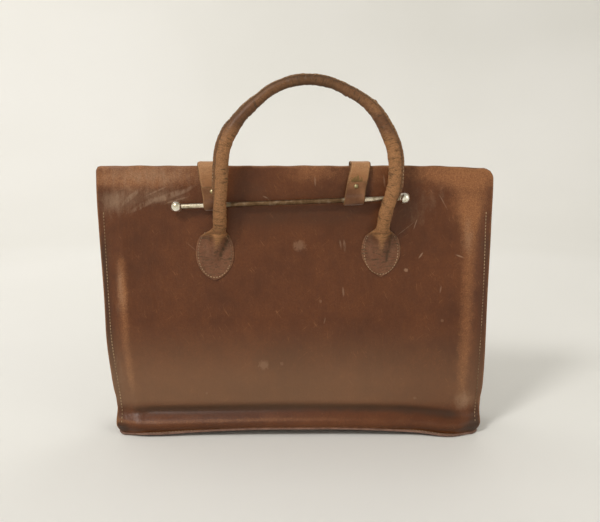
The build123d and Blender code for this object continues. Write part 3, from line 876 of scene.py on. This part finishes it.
def make_panel(name, front):
    """The front or the rear panel, one hide with its rounded cut edge."""
    phase, droop = (FRONT, 3.0) if front else (REAR, 3.6)
    corners = (4.5, 8.5) if front else (7.5, 5.0)
    x, z = panel_grid(phase, droop, *corners)
    if not front:
        z = z - 1.6 * smooth(z, 255, 275)
    y = face_y(x, z, phase)
    y = y - (1.0 - smooth(BODY_TOP - z, 0.0, 2.6)) * 0.5
    grid = np.stack([x, -y if front else y, z], axis=-1)
    normals = grid_normals(grid, (0, -1 if front else 1, 0))
    hide = PANEL_HIDE if front else REAR_HIDE
    piece = leather_sheet(name, grid, normals, LEATHER, [hide, CUT_EDGE, FLESH])
    rest = rest_of(piece)
    wear, dark, scuff = (front_wear_and_light if front else rear_wear_and_light)(rest[:, 0], rest[:, 2])
    keep(piece, wear=wear, dark=dark, scuff=scuff)
    return piece


def make_side_stitches(name, side, front):
    """The seam that holds a gusset to a panel."""
    phase = FRONT if front else REAR
    z = np.arange(15.0, GUSSET_TOP, STITCH_PITCH)
    x = shifted(side * (side_x(z) - SEAM_INSET), z)
    y = face_y(x, z, phase)
    facing = -1 if front else 1
    points = np.column_stack([x, facing * y, z])
    return stitches(name, points, (side * 0.3, facing, 0.08), length=2.4, width=1.0)


# ---- Gussets and base ---------------------------------------------------------------------------
def make_gusset(name, side):
    """A side folded inwards, its two edges behind the panels' edges."""
    heights = spaced(GUSSET_FOOT + 0.4, GUSSET_TOP, 70, 0.2)
    fold_base = 10.0  # how far the fold reaches in at the foot
    flange = 8.0  # the strip sewn flat against each panel
    gap = 0.35
    base_y = face_y(side * HALF_FOOT, 30.0) - LEATHER - gap + 4.0
    leaf = (base_y**2 + fold_base**2) ** 0.5
    grid = []
    for z in heights:
        edge_x = float(side_x(z)) - 1.0
        out_x = side * edge_x
        moved = float(shifted(out_x, z)) - out_x
        seam = side * (edge_x - flange)
        front, rear = (float(face_y(out_x + moved, z, p)) - LEATHER - gap for p in (FRONT, REAR))
        front_in, rear_in = (
            float(face_y(seam + moved, z, p)) - LEATHER - gap - 0.6 for p in (FRONT, REAR)
        )
        half = (front_in + rear_in) / 2
        fold = max(leaf**2 - half**2, 4.0) ** 0.5
        belly = 1.2 * sin(pi * (z - GUSSET_FOOT) / (GUSSET_TOP - GUSSET_FOOT))
        fold_x = side * (edge_x - flange - fold)
        middle = (rear_in - front_in) / 2
        front_leaf, rear_leaf = (
            [
                (out_x, way * at_edge), (side * (edge_x - 4), way * (at_edge + at_seam) / 2),
                (seam, way * at_seam), (seam - side * fold * 0.45, way * (at_seam * 0.58 + belly)),
                (fold_x + side * 1.5, middle + way * 1.6),
            ]
            for way, at_edge, at_seam in ((-1, front, front_in), (1, rear, rear_in))
        )
        keys = front_leaf + [(fold_x, middle)] + rear_leaf[::-1]
        line = spline(keys, 61) + (moved, 0)
        grid.append(np.column_stack([line, np.full(len(line), z)]))
    grid = np.array(grid)
    normals = grid_normals(grid, (side, 0, 0))
    normals[:, :4] = normals[:, 4:5]
    piece = leather_sheet(name, grid, normals, GUSSET_LEATHER, [GUSSET_HIDE, CUT_EDGE, FLESH])
    rest = rest_of(piece)
    inside = HALF_TOP - np.abs(rest[:, 0])
    fold_wear = 0.35 * smooth(inside, 24, 40) + 0.25 * smooth(rest[:, 2], 205, 232)
    keep(piece, wear=fold_wear, dark=0.35 * hump(inside, 14, 8), scuff=0.25 * hump(rest[:, 2], 60, 50))
    return piece


def make_base():
    """The base: one hide, arched off the ground, its long rims under the panels' edges."""
    xs = spaced(-HALF_FOOT + 1.2, HALF_FOOT - 1.2, 121, 0.5)
    across = spaced(-1, 1, 61, 0.3)
    grid = np.zeros((len(xs), len(across), 3))
    for i, x in enumerate(xs):
        end = float(smooth(abs(x), 160, 186))
        half = BASE_HIGH[1] - 0.6 - 4.6 * end
        y = across * half
        rim = base_rim(x) * smooth(np.abs(y), half - 12, half - 3) * (1 - 0.9 * end)
        z = base_arch(x) + rim + 0.12
        corner = max(0.0, abs(x) - (HALF_FOOT - FOOT_CORNER)) / 7.8
        y = y * (1 - 0.22 * corner**2)
        y = y + np.sign(across) * SLUMP * float(lump(x)) * smooth(np.abs(across), 0.4, 1.0)
        grid[i] = np.column_stack([np.full(len(y), shifted(x, 0)), y, z])
    normals = grid_normals(grid, (0, 0, -1))
    piece = leather_sheet("base_leather", grid, normals, LEATHER - 0.1, [GUSSET_HIDE, DARK_EDGE, FLESH])
    rest = rest_of(piece)
    ends = smooth(np.abs(rest[:, 0]), 150, 188)
    sides = smooth(np.abs(rest[:, 1]), 24, 33)
    wear = 0.45 * ends * (0.4 + 0.6 * sides)
    keep(piece, wear=wear, dark=0.45 - 0.3 * ends, scuff=0.35 * ends + 0.2 * sides)
    return piece


def make_base_stitches(name, facing):
    """Stitches along the base's rim, where the panel's foot is sewn to it."""
    x = np.arange(-156.0, 156.1, STITCH_PITCH)
    y = facing * (BASE_HIGH[1] - 1.7 + SLUMP * lump(x))
    z = base_arch(x) + base_rim(x) + LEATHER
    points = np.column_stack([shifted(x, 0), y, z])
    return stitches(name, points, (0, facing * 0.3, 1.0), length=2.3, width=0.75)


# ---- Handle -------------------------------------------------------------------------------------
TABS = {
    "left": {
        "x": -81.6, "z": 190.5, "wide": 19.4, "high": 27.8,
        "tail": (-85.0, 178.0), "root": -76.5, "point": 0.62,
    },
    "right": {
        "x": 87.0, "z": 192.6, "wide": 19.8, "high": 27.0,
        "tail": (86.5, 174.0), "root": 87.0, "point": 0.82,
    },
}
ROOT_RISE = 7.4  # the handle's middle above the panel where it leaves the tab
AROUND = 40
ANGLES = round_angles(AROUND)


def handle_points():
    """The handle's middle line above its hinge, from the left leg over to the right one."""
    root = -(float(face_y(-77, HINGE_Z, FRONT)) + ROOT_RISE)
    leg = root - BOW
    return [
        (-76.4, root, 207.0), (-75.2, root - 4.4, 219.0), (-74.3, leg + 1.6, 235.0),
        (-73.0, leg, 252.0), (-71.4, leg, 279.0), (-70.0, leg + 1.0, 291.5),
        (-67.0, leg + 2.0, 302.0), (-62.0, leg + 3.0, 311.7), (-55.0, leg + 4.0, 321.6),
        (-46.0, leg + 5.4, 331.2), (-35.8, leg + 6.6, 340.4), (-22.6, leg + 7.8, 350.5),
        (-5.5, leg + 8.9, 357.6), (13.0, leg + 9.4, 360.1), (31.5, leg + 9.0, 357.7),
        (49.0, leg + 7.8, 350.5), (65.0, leg + 6.2, 341.0), (75.6, leg + 5.0, 331.5),
        (82.4, leg + 4.0, 322.0), (87.8, leg + 3.0, 312.5), (92.1, leg + 2.0, 303.0),
        (95.4, leg + 1.0, 293.5), (97.0, leg, 281.0), (97.2, leg, 268.0),
        (95.8, leg, 256.0), (92.7, leg + 0.6, 245.0), (89.8, leg + 2.4, 234.0),
        (87.8, root - 4.4, 220.0), (87.0, root, 207.0),
    ]


HANDLE_STEPS = 420
HANDLE_LINE = spline(handle_points(), HANDLE_STEPS)
# Small random folds across the roll, one number for each step of its line
CREASES = np.convolve(RNG.normal(0, 1.4, HANDLE_STEPS), (0.25, 0.5, 0.25), mode="same")


def tab_half(tab, z):
    """Half width of a tab's oval at height z."""
    t = (z - tab["z"]) / tab["high"]
    power = np.where(t < 0, tab["point"], 0.5)
    return tab["wide"] * np.clip(1 - t * t, 0, 1) ** power * (1 - 0.05 * t)


def tab_ridge(tab, z):
    """Where the roll runs down into a tab at height z: its middle from the tab's, half width
    and how far up the tab it is, 0 to 1."""
    t = np.clip((z - tab["tail"][1]) / (HINGE_Z - tab["tail"][1]), 0, 1)
    middle = tab["tail"][0] + (tab["root"] - tab["tail"][0]) * t - tab["x"]
    return middle, 2.6 + (TUBE_RADIUS - 1.8) * t + 1.4, t


def tab_rise(tab, a, z, wide):
    """Height of a tab's outer face over the panel, at a from the tab's middle."""
    share = np.clip(np.abs(a) / max(wide, 0.5), 0, 1)
    flat = TAB_LEATHER * (1 - share**7) ** (1 / 3.5)
    middle, width, t = tab_ridge(tab, z)
    rise = (ROOT_RISE + TUBE_RADIUS - TAB_LEATHER) * t**1.1
    ridge = rise * np.exp(-(np.abs((a - middle) / width) ** 2.6))
    dimple = -1.0 * np.exp(-(((a - middle - width * 1.45) / 1.6) ** 2)) * smooth(t, 0, 0.3)
    return flat + (ridge + dimple) * (1 - share**6)


def tab_ring(tab, z):
    """A tab's section at height z, as points round it."""
    wide = float(tab_half(tab, z))
    a = wide * np.cos(ANGLES)
    x = tab["x"] + a
    level = np.full(AROUND, z)
    rise = np.where(np.sin(ANGLES) > 1e-6, tab_rise(tab, a, z, wide), 0.0)
    rise = np.where(np.abs(np.sin(ANGLES)) < 0.02, TAB_LEATHER * 0.45, rise)
    return np.column_stack([x, -(face_y(x, level, FRONT) + rise - 0.05), level])


def handle_radius(share, middle):
    """The cover is fuller on the legs and thinner, squeezed by use, over the arch."""
    x, z = middle[0], middle[2]
    arch = smooth(z, 300, 352)
    uneven = patches(
        x, z, (0.45, -66, 310, 9, 11), (0.2, 80, 326, 8, 8), (-0.5, -55, 326, 6, 5),
        (-0.3, -74, 243, 5, 9),
    )
    wobble = 0.10 * sin(share * 97) + 0.08 * sin(share * 41 + 1)
    wobble = wobble + 0.07 * sin(share * 613) * sin(share * 171)
    return TUBE_RADIUS + 0.3 - 1.7 * arch + uneven + wobble


def other_way(ring):
    """The same ring counted the other way round."""
    return ring[(AROUND // 2 - np.arange(AROUND)) % AROUND]


def tab_rings(name):
    """A tab's rings from its tip up to the hinge, and their laid-out places."""
    tab = TABS[name]
    tip = tab["z"] - tab["high"]
    heights = tip + 0.25 + (HINGE_Z - 4 - tip) * np.linspace(0, 1, 44) ** 1.6
    rings = [tab_ring(tab, z) for z in heights]
    lays = []
    for ring, z in zip(rings, heights):
        level = np.full(AROUND, z - HINGE_Z)
        lays.append(np.column_stack([level, ring[:, 0] - tab["root"], np.zeros(AROUND)]))
    return rings, lays


def handle_body():
    """The roll's rings along its line, and the same rings laid out straight."""
    count = len(HANDLE_LINE)
    run = run_along(HANDLE_LINE)
    across, up = np.cos(ANGLES), np.sin(ANGLES)
    body, body_lay = [], []
    for i, middle in enumerate(HANDLE_LINE):
        out, side = outer_side(i)
        radius = handle_radius(i / count, middle)
        ripple = 1 + 0.5 * np.cos(ANGLES * 2 + i * 0.05)
        reach = radius - 0.16 * CREASES[i] * ripple * smooth(middle[2], 212, 225)
        ring = other_way(middle + round_in(side, out, ANGLES, reach))
        share = float(1 - smooth(middle[2], HINGE_Z - 2.5, HINGE_Z + 9.0))
        if share > 0:
            first = i < count / 2
            own = tab_ring(TABS["left" if first else "right"], middle[2])
            ring = (own if first else other_way(own)) * share + ring * (1 - share)
        body.append(ring)
        flat = np.column_stack([np.full(AROUND, run[i]), radius * across, radius * up])
        body_lay.append(other_way(flat))
    return body, body_lay, run[-1]


def crease_by_seam(body, left_count, right_count):
    """1 where the roll meets its seam edge, for the painted shade in that crease."""
    away = np.abs(np.arctan2(np.sin(ANGLES), np.cos(ANGLES))) - 0.36
    beside = np.tile(other_way(np.exp(-(away / 0.16) ** 2)), len(body))
    beside = beside * smooth(np.vstack(body)[:, 2], 225, 250)
    return np.concatenate([np.zeros(AROUND * left_count), beside, np.zeros(AROUND * right_count)])


def make_handle():
    """One rolled hide from tab to tab. Its rings run from the left tab's tip, up and over."""
    left, left_lay = tab_rings("left")
    right, right_lay = tab_rings("right")
    body, body_lay, length = handle_body()
    right = [other_way(ring) for ring in right[::-1]]
    right_lay = [other_way(lay) * (-1, -1, 1) + (length, 0, 0) for lay in right_lay[::-1]]
    rings = left[:-1] + body + right[1:]
    faces = tube_faces(len(rings), AROUND)
    piece = build("handle_leather", np.vstack(rings), faces, [HANDLE_HIDE])
    keep(piece, lay=np.vstack(left_lay[:-1] + body_lay + right_lay[1:]))
    creased = crease_by_seam(body, len(left) - 1, len(right) - 1)
    paint_handle(piece, creased)
    return piece


def paint_handle(piece, creased):
    """Where the handle and its tabs are rubbed, dirty or scraped, and where shade is painted into their
    creases.
    """
    rest = rest_of(piece)
    x, z = rest[:, 0], rest[:, 2]
    forward = -rest[:, 1]
    near_tab, ridge, crease = (np.zeros(len(rest)) for _ in range(3))
    edge = np.full(len(rest), 9.0)
    for tab in TABS.values():
        wide = tab_half(tab, np.clip(z, tab["z"] - tab["high"], tab["z"] + tab["high"]))
        mine = (np.abs(x - tab["x"]) < 30) & (z < HINGE_Z + 2)
        edge = np.where(mine, np.maximum(wide - np.abs(x - tab["x"]), 0), edge)
        near_tab = np.maximum(near_tab, mine * (1 - smooth(z, 198, 212)))
        middle, width, t = tab_ridge(tab, z)
        beside = x - tab["x"] - middle
        ridge += mine * hump(beside, 0, 0.75 * width) * smooth(t, 0.1, 0.75)
        # crease is painted shade in the folds beside the ridge where the roll runs into a tab.
        crease += mine * hump(beside, 1.15 * width, 1.5) * smooth(t, 0.05, 0.3)
        crease += mine * 0.5 * hump(beside, -1.2 * width, 1.5) * smooth(t, 0.4, 0.8)
    top = smooth(z, *ARCH_TOP)
    leg = smooth(z, 203, 216) * (1 - smooth(z, 292, 330))
    wear = leg * (0.62 + 0.16 * smooth(x, 40, 60)) + 0.40 * top + 0.75 * ridge - 0.15 * near_tab
    wear = wear + patches(
        x, z, (0.22, -64, 316, 14, 18), (0.3, 78, 330, 12, 12), (0.3, -92, 209, 7, 6)
    )
    # In dark, creased and crease are painted shade in creases, and the line 4.4 in from a tab's edge is
    # painted shade inside its rim.
    dark = (
        0.5 * top * smooth(-forward, -34, -26) + 0.14 * top + 0.22 * patch(x, z, -72, 286, 20, 18)
        + 0.75 * creased + 0.9 * crease + 0.45 * near_tab * hump(edge, 4.4, 0.9)
    )
    streak = smooth(forward, 33, 37) * (1 - smooth(forward, 39, 43))
    scuff = 0.26 * near_tab + 0.28 * top * streak + 0.06 * leg
    keep(piece, edge=edge, wear=wear, dark=dark, scuff=scuff, tab=near_tab)


def outer_side(i):
    """The handle's front and its outer side, away from the middle of the bag, at a point of
    its line."""
    line = HANDLE_LINE
    along = unit(line[min(i + 1, len(line) - 1)] - line[max(i - 1, 0)])
    out = unit(np.array([0, -1.0, 0]) - (np.array([0, -1.0, 0]) @ along) * along)
    return out, unit(np.cross(out, along))


def seam_range():
    """The places on the handle's line where the seam edge runs."""
    line = HANDLE_LINE
    return [i for i in range(len(line)) if line[i][2] > 238 and 0 < i < len(line) - 1]


def make_seam_edge():
    """The cover's two edges, sewn together along the outside of the roll."""
    spots = seam_range()
    rings, lays = [], []
    for i in spots:
        out, side = outer_side(i)
        middle = HANDLE_LINE[i]
        end = min(spots.index(i), len(spots) - 1 - spots.index(i)) / 22
        grow = float(smooth(end, 0, 1))
        radius = handle_radius(i / len(HANDLE_LINE), middle)
        arch = float(smooth(middle[2], *FLANGE_TOP))
        nub = 1.5 * patch(middle[0], middle[2], 72.5, 336, 1.4, 5)
        notch = 1.1 * patch(middle[0], middle[2], -57.0, 319, 2.2, 5)
        frayed = 0.18 * sin(i * 0.37) * sin(i * 0.11) + 0.10 * CREASES[i]
        reach = radius + 0.15 + (2.1 - 0.9 * arch + frayed + nub - notch) * grow
        half = (1.5 - 0.3 * arch) * (0.35 + 0.65 * grow)
        one_edge = [
            (radius - 2.2, half + 0.5), (radius + 0.1, half), (reach - 0.8, half),
            (reach - 0.15, half * 0.75), (reach - 0.1, half * 0.35),
        ]
        keys = one_edge + [(reach - 0.45, 0.0)] + [(r, -b) for r, b in one_edge[::-1]]
        rings.append([middle + side * r + out * b for r, b in keys])
        lays.append([(i * 1.15, r, b) for r, b in keys])
    faces = tube_faces(len(rings), len(rings[0]))
    piece = build("handle_seam_leather", np.vstack(rings), faces, [HANDLE_HIDE])
    keep(piece, lay=np.vstack(lays))
    top = smooth(rest_of(piece)[:, 2], *ARCH_TOP)
    even = np.ones(len(top))
    keep(piece, edge=3.0 * even, wear=0.42 * even, dark=0.22 - 0.1 * top, scuff=0.2 + 0.2 * top)
    return piece


def make_handle_stitches():
    """Stitches on both faces of the handle's seam."""
    spots = seam_range()[26:-26]
    line = HANDLE_LINE
    run = run_along(line)
    sides = []
    for facing, face in ((1, "front"), (-1, "rear")):
        points, outward = [], []
        for s in np.arange(run[spots[0]], run[spots[-1]], STITCH_PITCH):
            i = int(np.clip(np.searchsorted(run, s), 1, len(line) - 2))
            middle = found_at([s], line, run)[0]
            out, side = outer_side(i)
            arch = float(smooth(middle[2], *FLANGE_TOP))
            beyond = handle_radius(i / len(line), middle) + 1.2 - 0.5 * arch
            points.append(middle + side * beyond + out * facing * (1.5 - 0.3 * arch))
            outward.append(out * facing)
        sides.append(stitches(f"handle_stitches_{face}", points, outward, length=2.1, width=0.7))
    return sides


def make_core():
    """The cord inside the roll, closed at both ends above the hinge."""
    around = 18
    angles = round_angles(around)
    rings = []
    for i, middle in enumerate(HANDLE_LINE):
        if middle[2] > 226:
            out, side = outer_side(i)
            lobes = 3.7 + 0.3 * np.cos(3 * angles + i * 0.5)
            rings.append(middle + round_in(side, out, angles, lobes))
    piece = build("handle_core_cord", np.vstack(rings), tube_faces(len(rings), around), [CORD])
    return piece


def make_tab_stitches(name):
    """Stitches round a tab, just inside its edge, open where the handle leaves it."""
    tab = TABS[name]
    inset = 2.6
    angles = np.linspace(radians(-232), radians(52), 400)
    a = (tab["wide"] - inset) * np.cos(angles) * (1 - 0.05 * np.sin(angles))
    z = tab["z"] + (tab["high"] - inset) * np.sin(angles)
    rise = np.array([float(tab_rise(tab, p, q, float(tab_half(tab, q)))) for p, q in zip(a, z)])
    y = -(face_y(tab["x"] + a, z, FRONT) + rise - 0.05)
    points = every(np.column_stack([tab["x"] + a, y, z]), TRIM_PITCH)
    return stitches(f"tab_stitches_{name}", points, (0, -1, 0.08), length=2.0, width=0.75)


def make_backing(name):
    """A round patch of leather inside the panel, behind a tab."""
    tab = TABS[name]
    radii = np.array([0.02, 5.0, 10.0, 14.5, 16.6, 17.0, 16.6, 14.5, 10.0, 5.0, 0.02])
    rise = np.array([1.6, 1.6, 1.6, 1.55, 1.3, 0.8, 0.1, 0.0, 0.0, 0.0, 0.0])
    around = 48
    angles = round_angles(around)
    rings = []
    for radius, up in zip(radii, rise):
        x = tab["x"] + radius * np.cos(angles)
        z = tab["z"] - 4 + radius * np.sin(angles)
        y = -(face_y(x, z, FRONT) - LEATHER - 0.1 - up)
        rings.append(np.column_stack([x, y, z]))
    faces = tube_faces(len(rings), around)
    piece = build(f"handle_backing_leather_{name}", np.vstack(rings), faces, [GUSSET_HIDE])
    even = np.ones(len(piece.data.vertices))
    keep(piece, edge=5.0 * even, wear=0.2 * even, dark=0.2 * even, scuff=0.1 * even)
    return piece


# ---- Straps -------------------------------------------------------------------------------------
def rod_z(x):
    """Height of the rod's middle line, which slants a little."""
    share = (x - BALL_LEFT[0]) / (BALL_RIGHT[0] - BALL_LEFT[0])
    return BALL_LEFT[2] + share * (BALL_RIGHT[2] - BALL_LEFT[2])


def strap_line(name):
    """Middle of a strap's thickness in Y and Z, from its sewn tail over the mouth, down the
    front, round the bar and up to its cut end."""
    z_bar = rod_z(STRAP_LOOP_X[name])
    loop = ROD_RADIUS + 0.9 + STRAP_LEATHER / 2
    half = STRAP_LEATHER / 2
    tail = [(float(face_y(0, z, REAR)) + half + 0.1, z) for z in (216, 230, 245, 260, 269)]
    over = [(10.9, 274.6), (11.2, 277.4), (9.8, 279.6), (6.0, 280.4), (0.0, 280.3), (-6.0, 280.2)]
    front = [
        (-9.6, 280.0), (-11.9, 278.0), (-12.6, 274.5), (-13.2, 266.0), (-13.8, 257.0), (-14.3, z_bar + 6)
    ]
    wrap = []
    for degrees in (5, -30, -65, -100, -135, -170, -200):
        a = radians(degrees)
        wrap.append((ROD_Y + loop * cos(a), z_bar + loop * sin(a)))
    lap = [(ROD_Y + 0.2, 5.0), (-16.9, 8.2), (-16.35, 11.5), (-16.2, 17.0)]
    lap = [(y, z_bar + up) for y, up in lap]
    return np.array(tail + over + front + wrap + lap)


def strap_x(name, y, z):
    """Middle of a strap's width along its way: it slants on the front."""
    down = np.clip((BODY_TOP - z) / (BODY_TOP - rod_z(STRAP_LOOP_X[name])), 0, 1.1) * (y < STRAP_FRONT_Y)
    return STRAP_TOP_X[name] + (STRAP_LOOP_X[name] - STRAP_TOP_X[name]) * down


def make_strap(name):
    """One strap in one piece: sewn tail, bend over the mouth, front and loop."""
    keys = strap_line(name)
    line = spline(keys, 150)
    along = unit(np.gradient(line, axis=0))
    normal = np.stack([along[:, 1], -along[:, 0]], axis=1)
    across = spaced(-1, 1, 11, 0.3)
    z_bar = rod_z(STRAP_LOOP_X[name])
    grid = np.zeros((len(line), len(across), 3))
    lay = np.zeros_like(grid)
    run = run_along(line)
    for i, ((y, z), n) in enumerate(zip(line, normal)):
        middle = strap_x(name, y, z)
        half = STRAP_HALF * (0.985 + 0.015 * sin(i * 0.21))
        at_end = y > 0 and z < 223
        rounded = max(1 - ((223 - z) / 7.5) ** 2 * 0.55, 0.3) if at_end else 1.0
        slant = 0.018 * (BODY_TOP - z) if y < STRAP_FRONT_Y else 0.0
        lift = STRAP_LEATHER / 2 + 0.12 * across**2
        grid[i] = np.column_stack([
            middle + across * half * rounded,
            y + n[0] * lift,
            z + n[1] * lift + across * slant * 0.5,
        ])
        lay[i] = np.column_stack([np.full(len(across), run[i]), across * half + middle, 0 * across])
    normals = grid_normals(grid, (0, 0, 1))
    top_row = int(np.argmax(grid[:, 5, 2]))
    if normals[top_row, 5, 2] < 0:
        normals = -normals
    piece = leather_sheet(
        f"strap_{name}_leather", grid, normals, STRAP_LEATHER, [STRAP_HIDE, STRAP_EDGE, FLESH], lay
    )
    rest = rest_of(piece)
    y, z = rest[:, 1], rest[:, 2]
    loop = patch(y, z, ROD_Y, z_bar, 7, 8)
    wear = 0.40 * smooth(z, 258, 282) + 0.15 * (y > 0) + 0.2
    dark = 0.35 * loop + 0.25 * patch(y, z, -14, z_bar + 12, 4, 5) + 0.35 * (y > 0) * hump(z, 225, 14)
    keep(piece, wear=wear, dark=dark, scuff=0.55 * loop + 0.15)
    return piece


def make_tail_stitches(name):
    """Stitches round a strap's sewn tail on the rear panel."""
    w = STRAP_HALF - 2.8
    corners = [(-w, 268), (-w, 224), (-w * 0.62, 219), (w * 0.62, 219), (w, 224), (w, 267)]
    x, z = every(np.array(corners) + (STRAP_TOP_X[name], 0), TRIM_PITCH).T
    y = face_y(np.zeros_like(z), z, REAR) + STRAP_LEATHER + 0.15
    points = np.column_stack([x, y, z])
    return stitches(f"tail_stitches_{name}", points, (0, 1, 0.08), length=2.1, width=0.75)


def rivet_spot(name):
    """Where a rivet's middle is, in X and Z."""
    x = STRAP_LOOP_X[name] + 0.3 * (STRAP_TOP_X[name] - STRAP_LOOP_X[name])
    return x, rod_z(STRAP_LOOP_X[name]) + 13.4


def make_rivet(name):
    """A domed rivet head with a rolled rim, and its shank through the strap."""
    x, z = rivet_spot(name)
    profile = [
        (-3.2, 0.05), (-3.2, 1.15), (-0.3, 1.15), (-0.25, 1.8), (0.0, 2.1), (0.3, 2.2), (0.5, 2.05),
        (0.58, 1.85), (0.72, 1.75), (0.95, 1.45), (1.12, 1.05), (1.22, 0.6), (1.26, 0.04),
    ]
    left, down = np.array([-1.0, 0, 0]), np.array([0, 0, -1.0])
    angles = round_angles(32)
    rings = [(x, RIVET_Y - high, z) + round_in(left, down, angles, r) for high, r in profile]
    faces = tube_faces(len(rings), len(angles))
    piece = build(f"rivet_{name}", np.vstack(rings), faces, [RIVET_METAL])
    return piece


# ---- Stage, light and camera --------------------------------------------------------------------
def make_stage():
    """A pale floor that curves up into a round backdrop, so no view has a horizon."""
    f = Finish("studio_paper")
    coordinates = f.node("ShaderNodeTexCoord").outputs["Object"]
    tone = f.noise(coordinates, 0.9, 2.0)
    colour = f.mix(f.remap(tone, 0.3, 0.7), srgb(231, 230, 225), srgb(235, 234, 230))
    paper = f.surface(colour, f.remap(tone, 0.3, 0.7, 0.85, 0.95), specular=0.1)
    radius, bend, height, around = 2.6, 1.1, 3.2, 96
    profile = [(0.001, 0.0)] + [(r, 0.0) for r in np.linspace(0.2, radius - bend, 8)]
    profile += [
        (radius - bend + bend * sin(a), bend * (1 - cos(a))) for a in np.linspace(0.1, pi / 2, 16)
    ]
    profile += [(radius, height)]
    points = [(r * cos(2 * pi * k / around), r * sin(2 * pi * k / around), z)
              for r, z in profile for k in range(around)]
    faces = tube_faces(len(profile), around, closed_ends=False)
    faces.append(tuple(range(around)))
    stage = build("studio_floor", np.array(points) / MM, faces, [paper], closed=False)


def area_light(name, place, target, size, power, colour):
    """A round soft lamp turned to its target."""
    data = bpy.data.lights.new(name, "AREA")
    data.shape = "DISK"
    data.size = size
    data.energy = power
    data.color = colour
    lamp = bpy.data.objects.new(name, data)
    lamp.location = place
    lamp.rotation_euler = (Vector(target) - Vector(place)).to_track_quat("-Z", "Y").to_euler()
    bpy.context.scene.collection.objects.link(lamp)


def make_lights():
    """Studio light: a key from the front left, weak fills and a wash on the backdrop."""
    aim = (0, 0, 0.16)
    area_light("key", (-1.05, -1.35, 1.75), aim, 0.55, 26, (1.0, 0.98, 0.955))
    area_light("fill", (1.6, -1.2, 0.9), aim, 1.4, 5, (1.0, 0.96, 0.90))
    area_light("wash", (-0.9, 0.7, 1.9), (-1.1, 2.2, 0.9), 1.2, 13, (1.0, 0.975, 0.965))
    area_light("back", (0.6, 1.5, 1.7), aim, 1.2, 6, (1.0, 0.97, 0.93))
    world = bpy.data.worlds.new("studio")
    world.use_nodes = True
    background = world.node_tree.nodes["Background"]
    background.inputs["Color"].default_value = (1.0, 0.98, 0.95, 1.0)
    background.inputs["Strength"].default_value = 0.485
    bpy.context.scene.world = world
    bpy.context.scene.view_settings.view_transform = "Standard"


def make_camera():
    """The photograph's view: straight on, from a little above, turned a touch to one side."""
    data = bpy.data.cameras.new("camera")
    data.sensor_width = 36.0
    data.lens = 42.0
    data.clip_start = 0.01
    camera = bpy.data.objects.new("camera", data)
    camera.location = (-0.0018, -0.7185, 0.3063)
    camera.rotation_euler = (radians(90 - 10.08), 0.0, radians(-0.535))
    bpy.context.scene.collection.objects.link(camera)
    bpy.context.scene.camera = camera


# ---- Put together -------------------------------------------------------------------------------
def dress_cad_nodes():
    """The metal pieces keep their CAD shape and get their finish."""
    for node, material in (
        ("closure_rod", ROD_METAL), ("ball_left", NICKEL), ("ball_right", NICKEL),
        ("rivet_washers", WASHER_METAL),
    ):
        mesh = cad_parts[node].data
        mesh.materials.clear()
        mesh.materials.append(material)


def assemble_body():
    front = make_panel("front_panel_leather", True)
    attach(front, "shell")
    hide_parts("front_panel")
    rear = make_panel("rear_panel_leather", False)
    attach(rear, "rear")
    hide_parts("rear_panel")
    base = make_base()
    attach(base, "shell")
    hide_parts("base_panel")
    for name, side in (("left", -1), ("right", 1)):
        gusset = make_gusset(f"gusset_{name}_leather", side)
        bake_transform(gusset)
        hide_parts(f"gusset_{name}")
        for face, body in (("front", "shell"), ("rear", "rear")):
            seam = make_side_stitches(f"side_stitches_{face}_{name}", side, face == "front")
            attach(seam, body)
            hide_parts(f"side_thread_{face}_{name}")
    for face, facing in (("front", -1), ("rear", 1)):
        seam = make_base_stitches(f"base_stitches_{face}", facing)
        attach(seam, "shell")
        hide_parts(f"base_thread_{face}")


def assemble_handle():
    cover = make_handle()
    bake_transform(cover)
    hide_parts("handle_cover", "handle_tab_left", "handle_tab_right")
    seam = make_seam_edge()
    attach(seam, "handle")
    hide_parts("handle_seam_edge")
    sides = make_handle_stitches()
    for side in sides:
        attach(side, "handle")
    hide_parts("handle_thread")
    core = make_core()
    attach(core, "handle")
    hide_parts("handle_core")
    for name in ("left", "right"):
        seam = make_tab_stitches(name)
        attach(seam, "shell")
        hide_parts(f"tab_thread_{name}")
        backing = make_backing(name)
        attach(backing, "shell")
        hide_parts(f"handle_backing_{name}")


def assemble_straps():
    for name in ("left", "right"):
        strap = make_strap(name)
        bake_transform(strap)
        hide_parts(f"strap_{name}", f"strap_tail_{name}")
        seam = make_tail_stitches(name)
        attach(seam, "rear")
        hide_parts(f"tail_thread_{name}")
        rivet = make_rivet(name)
        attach(rivet, "straps")
    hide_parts("strap_rivets")


make_camera()
make_lights()
make_stage()
dress_cad_nodes()
assemble_body()
assemble_handle()
assemble_straps()
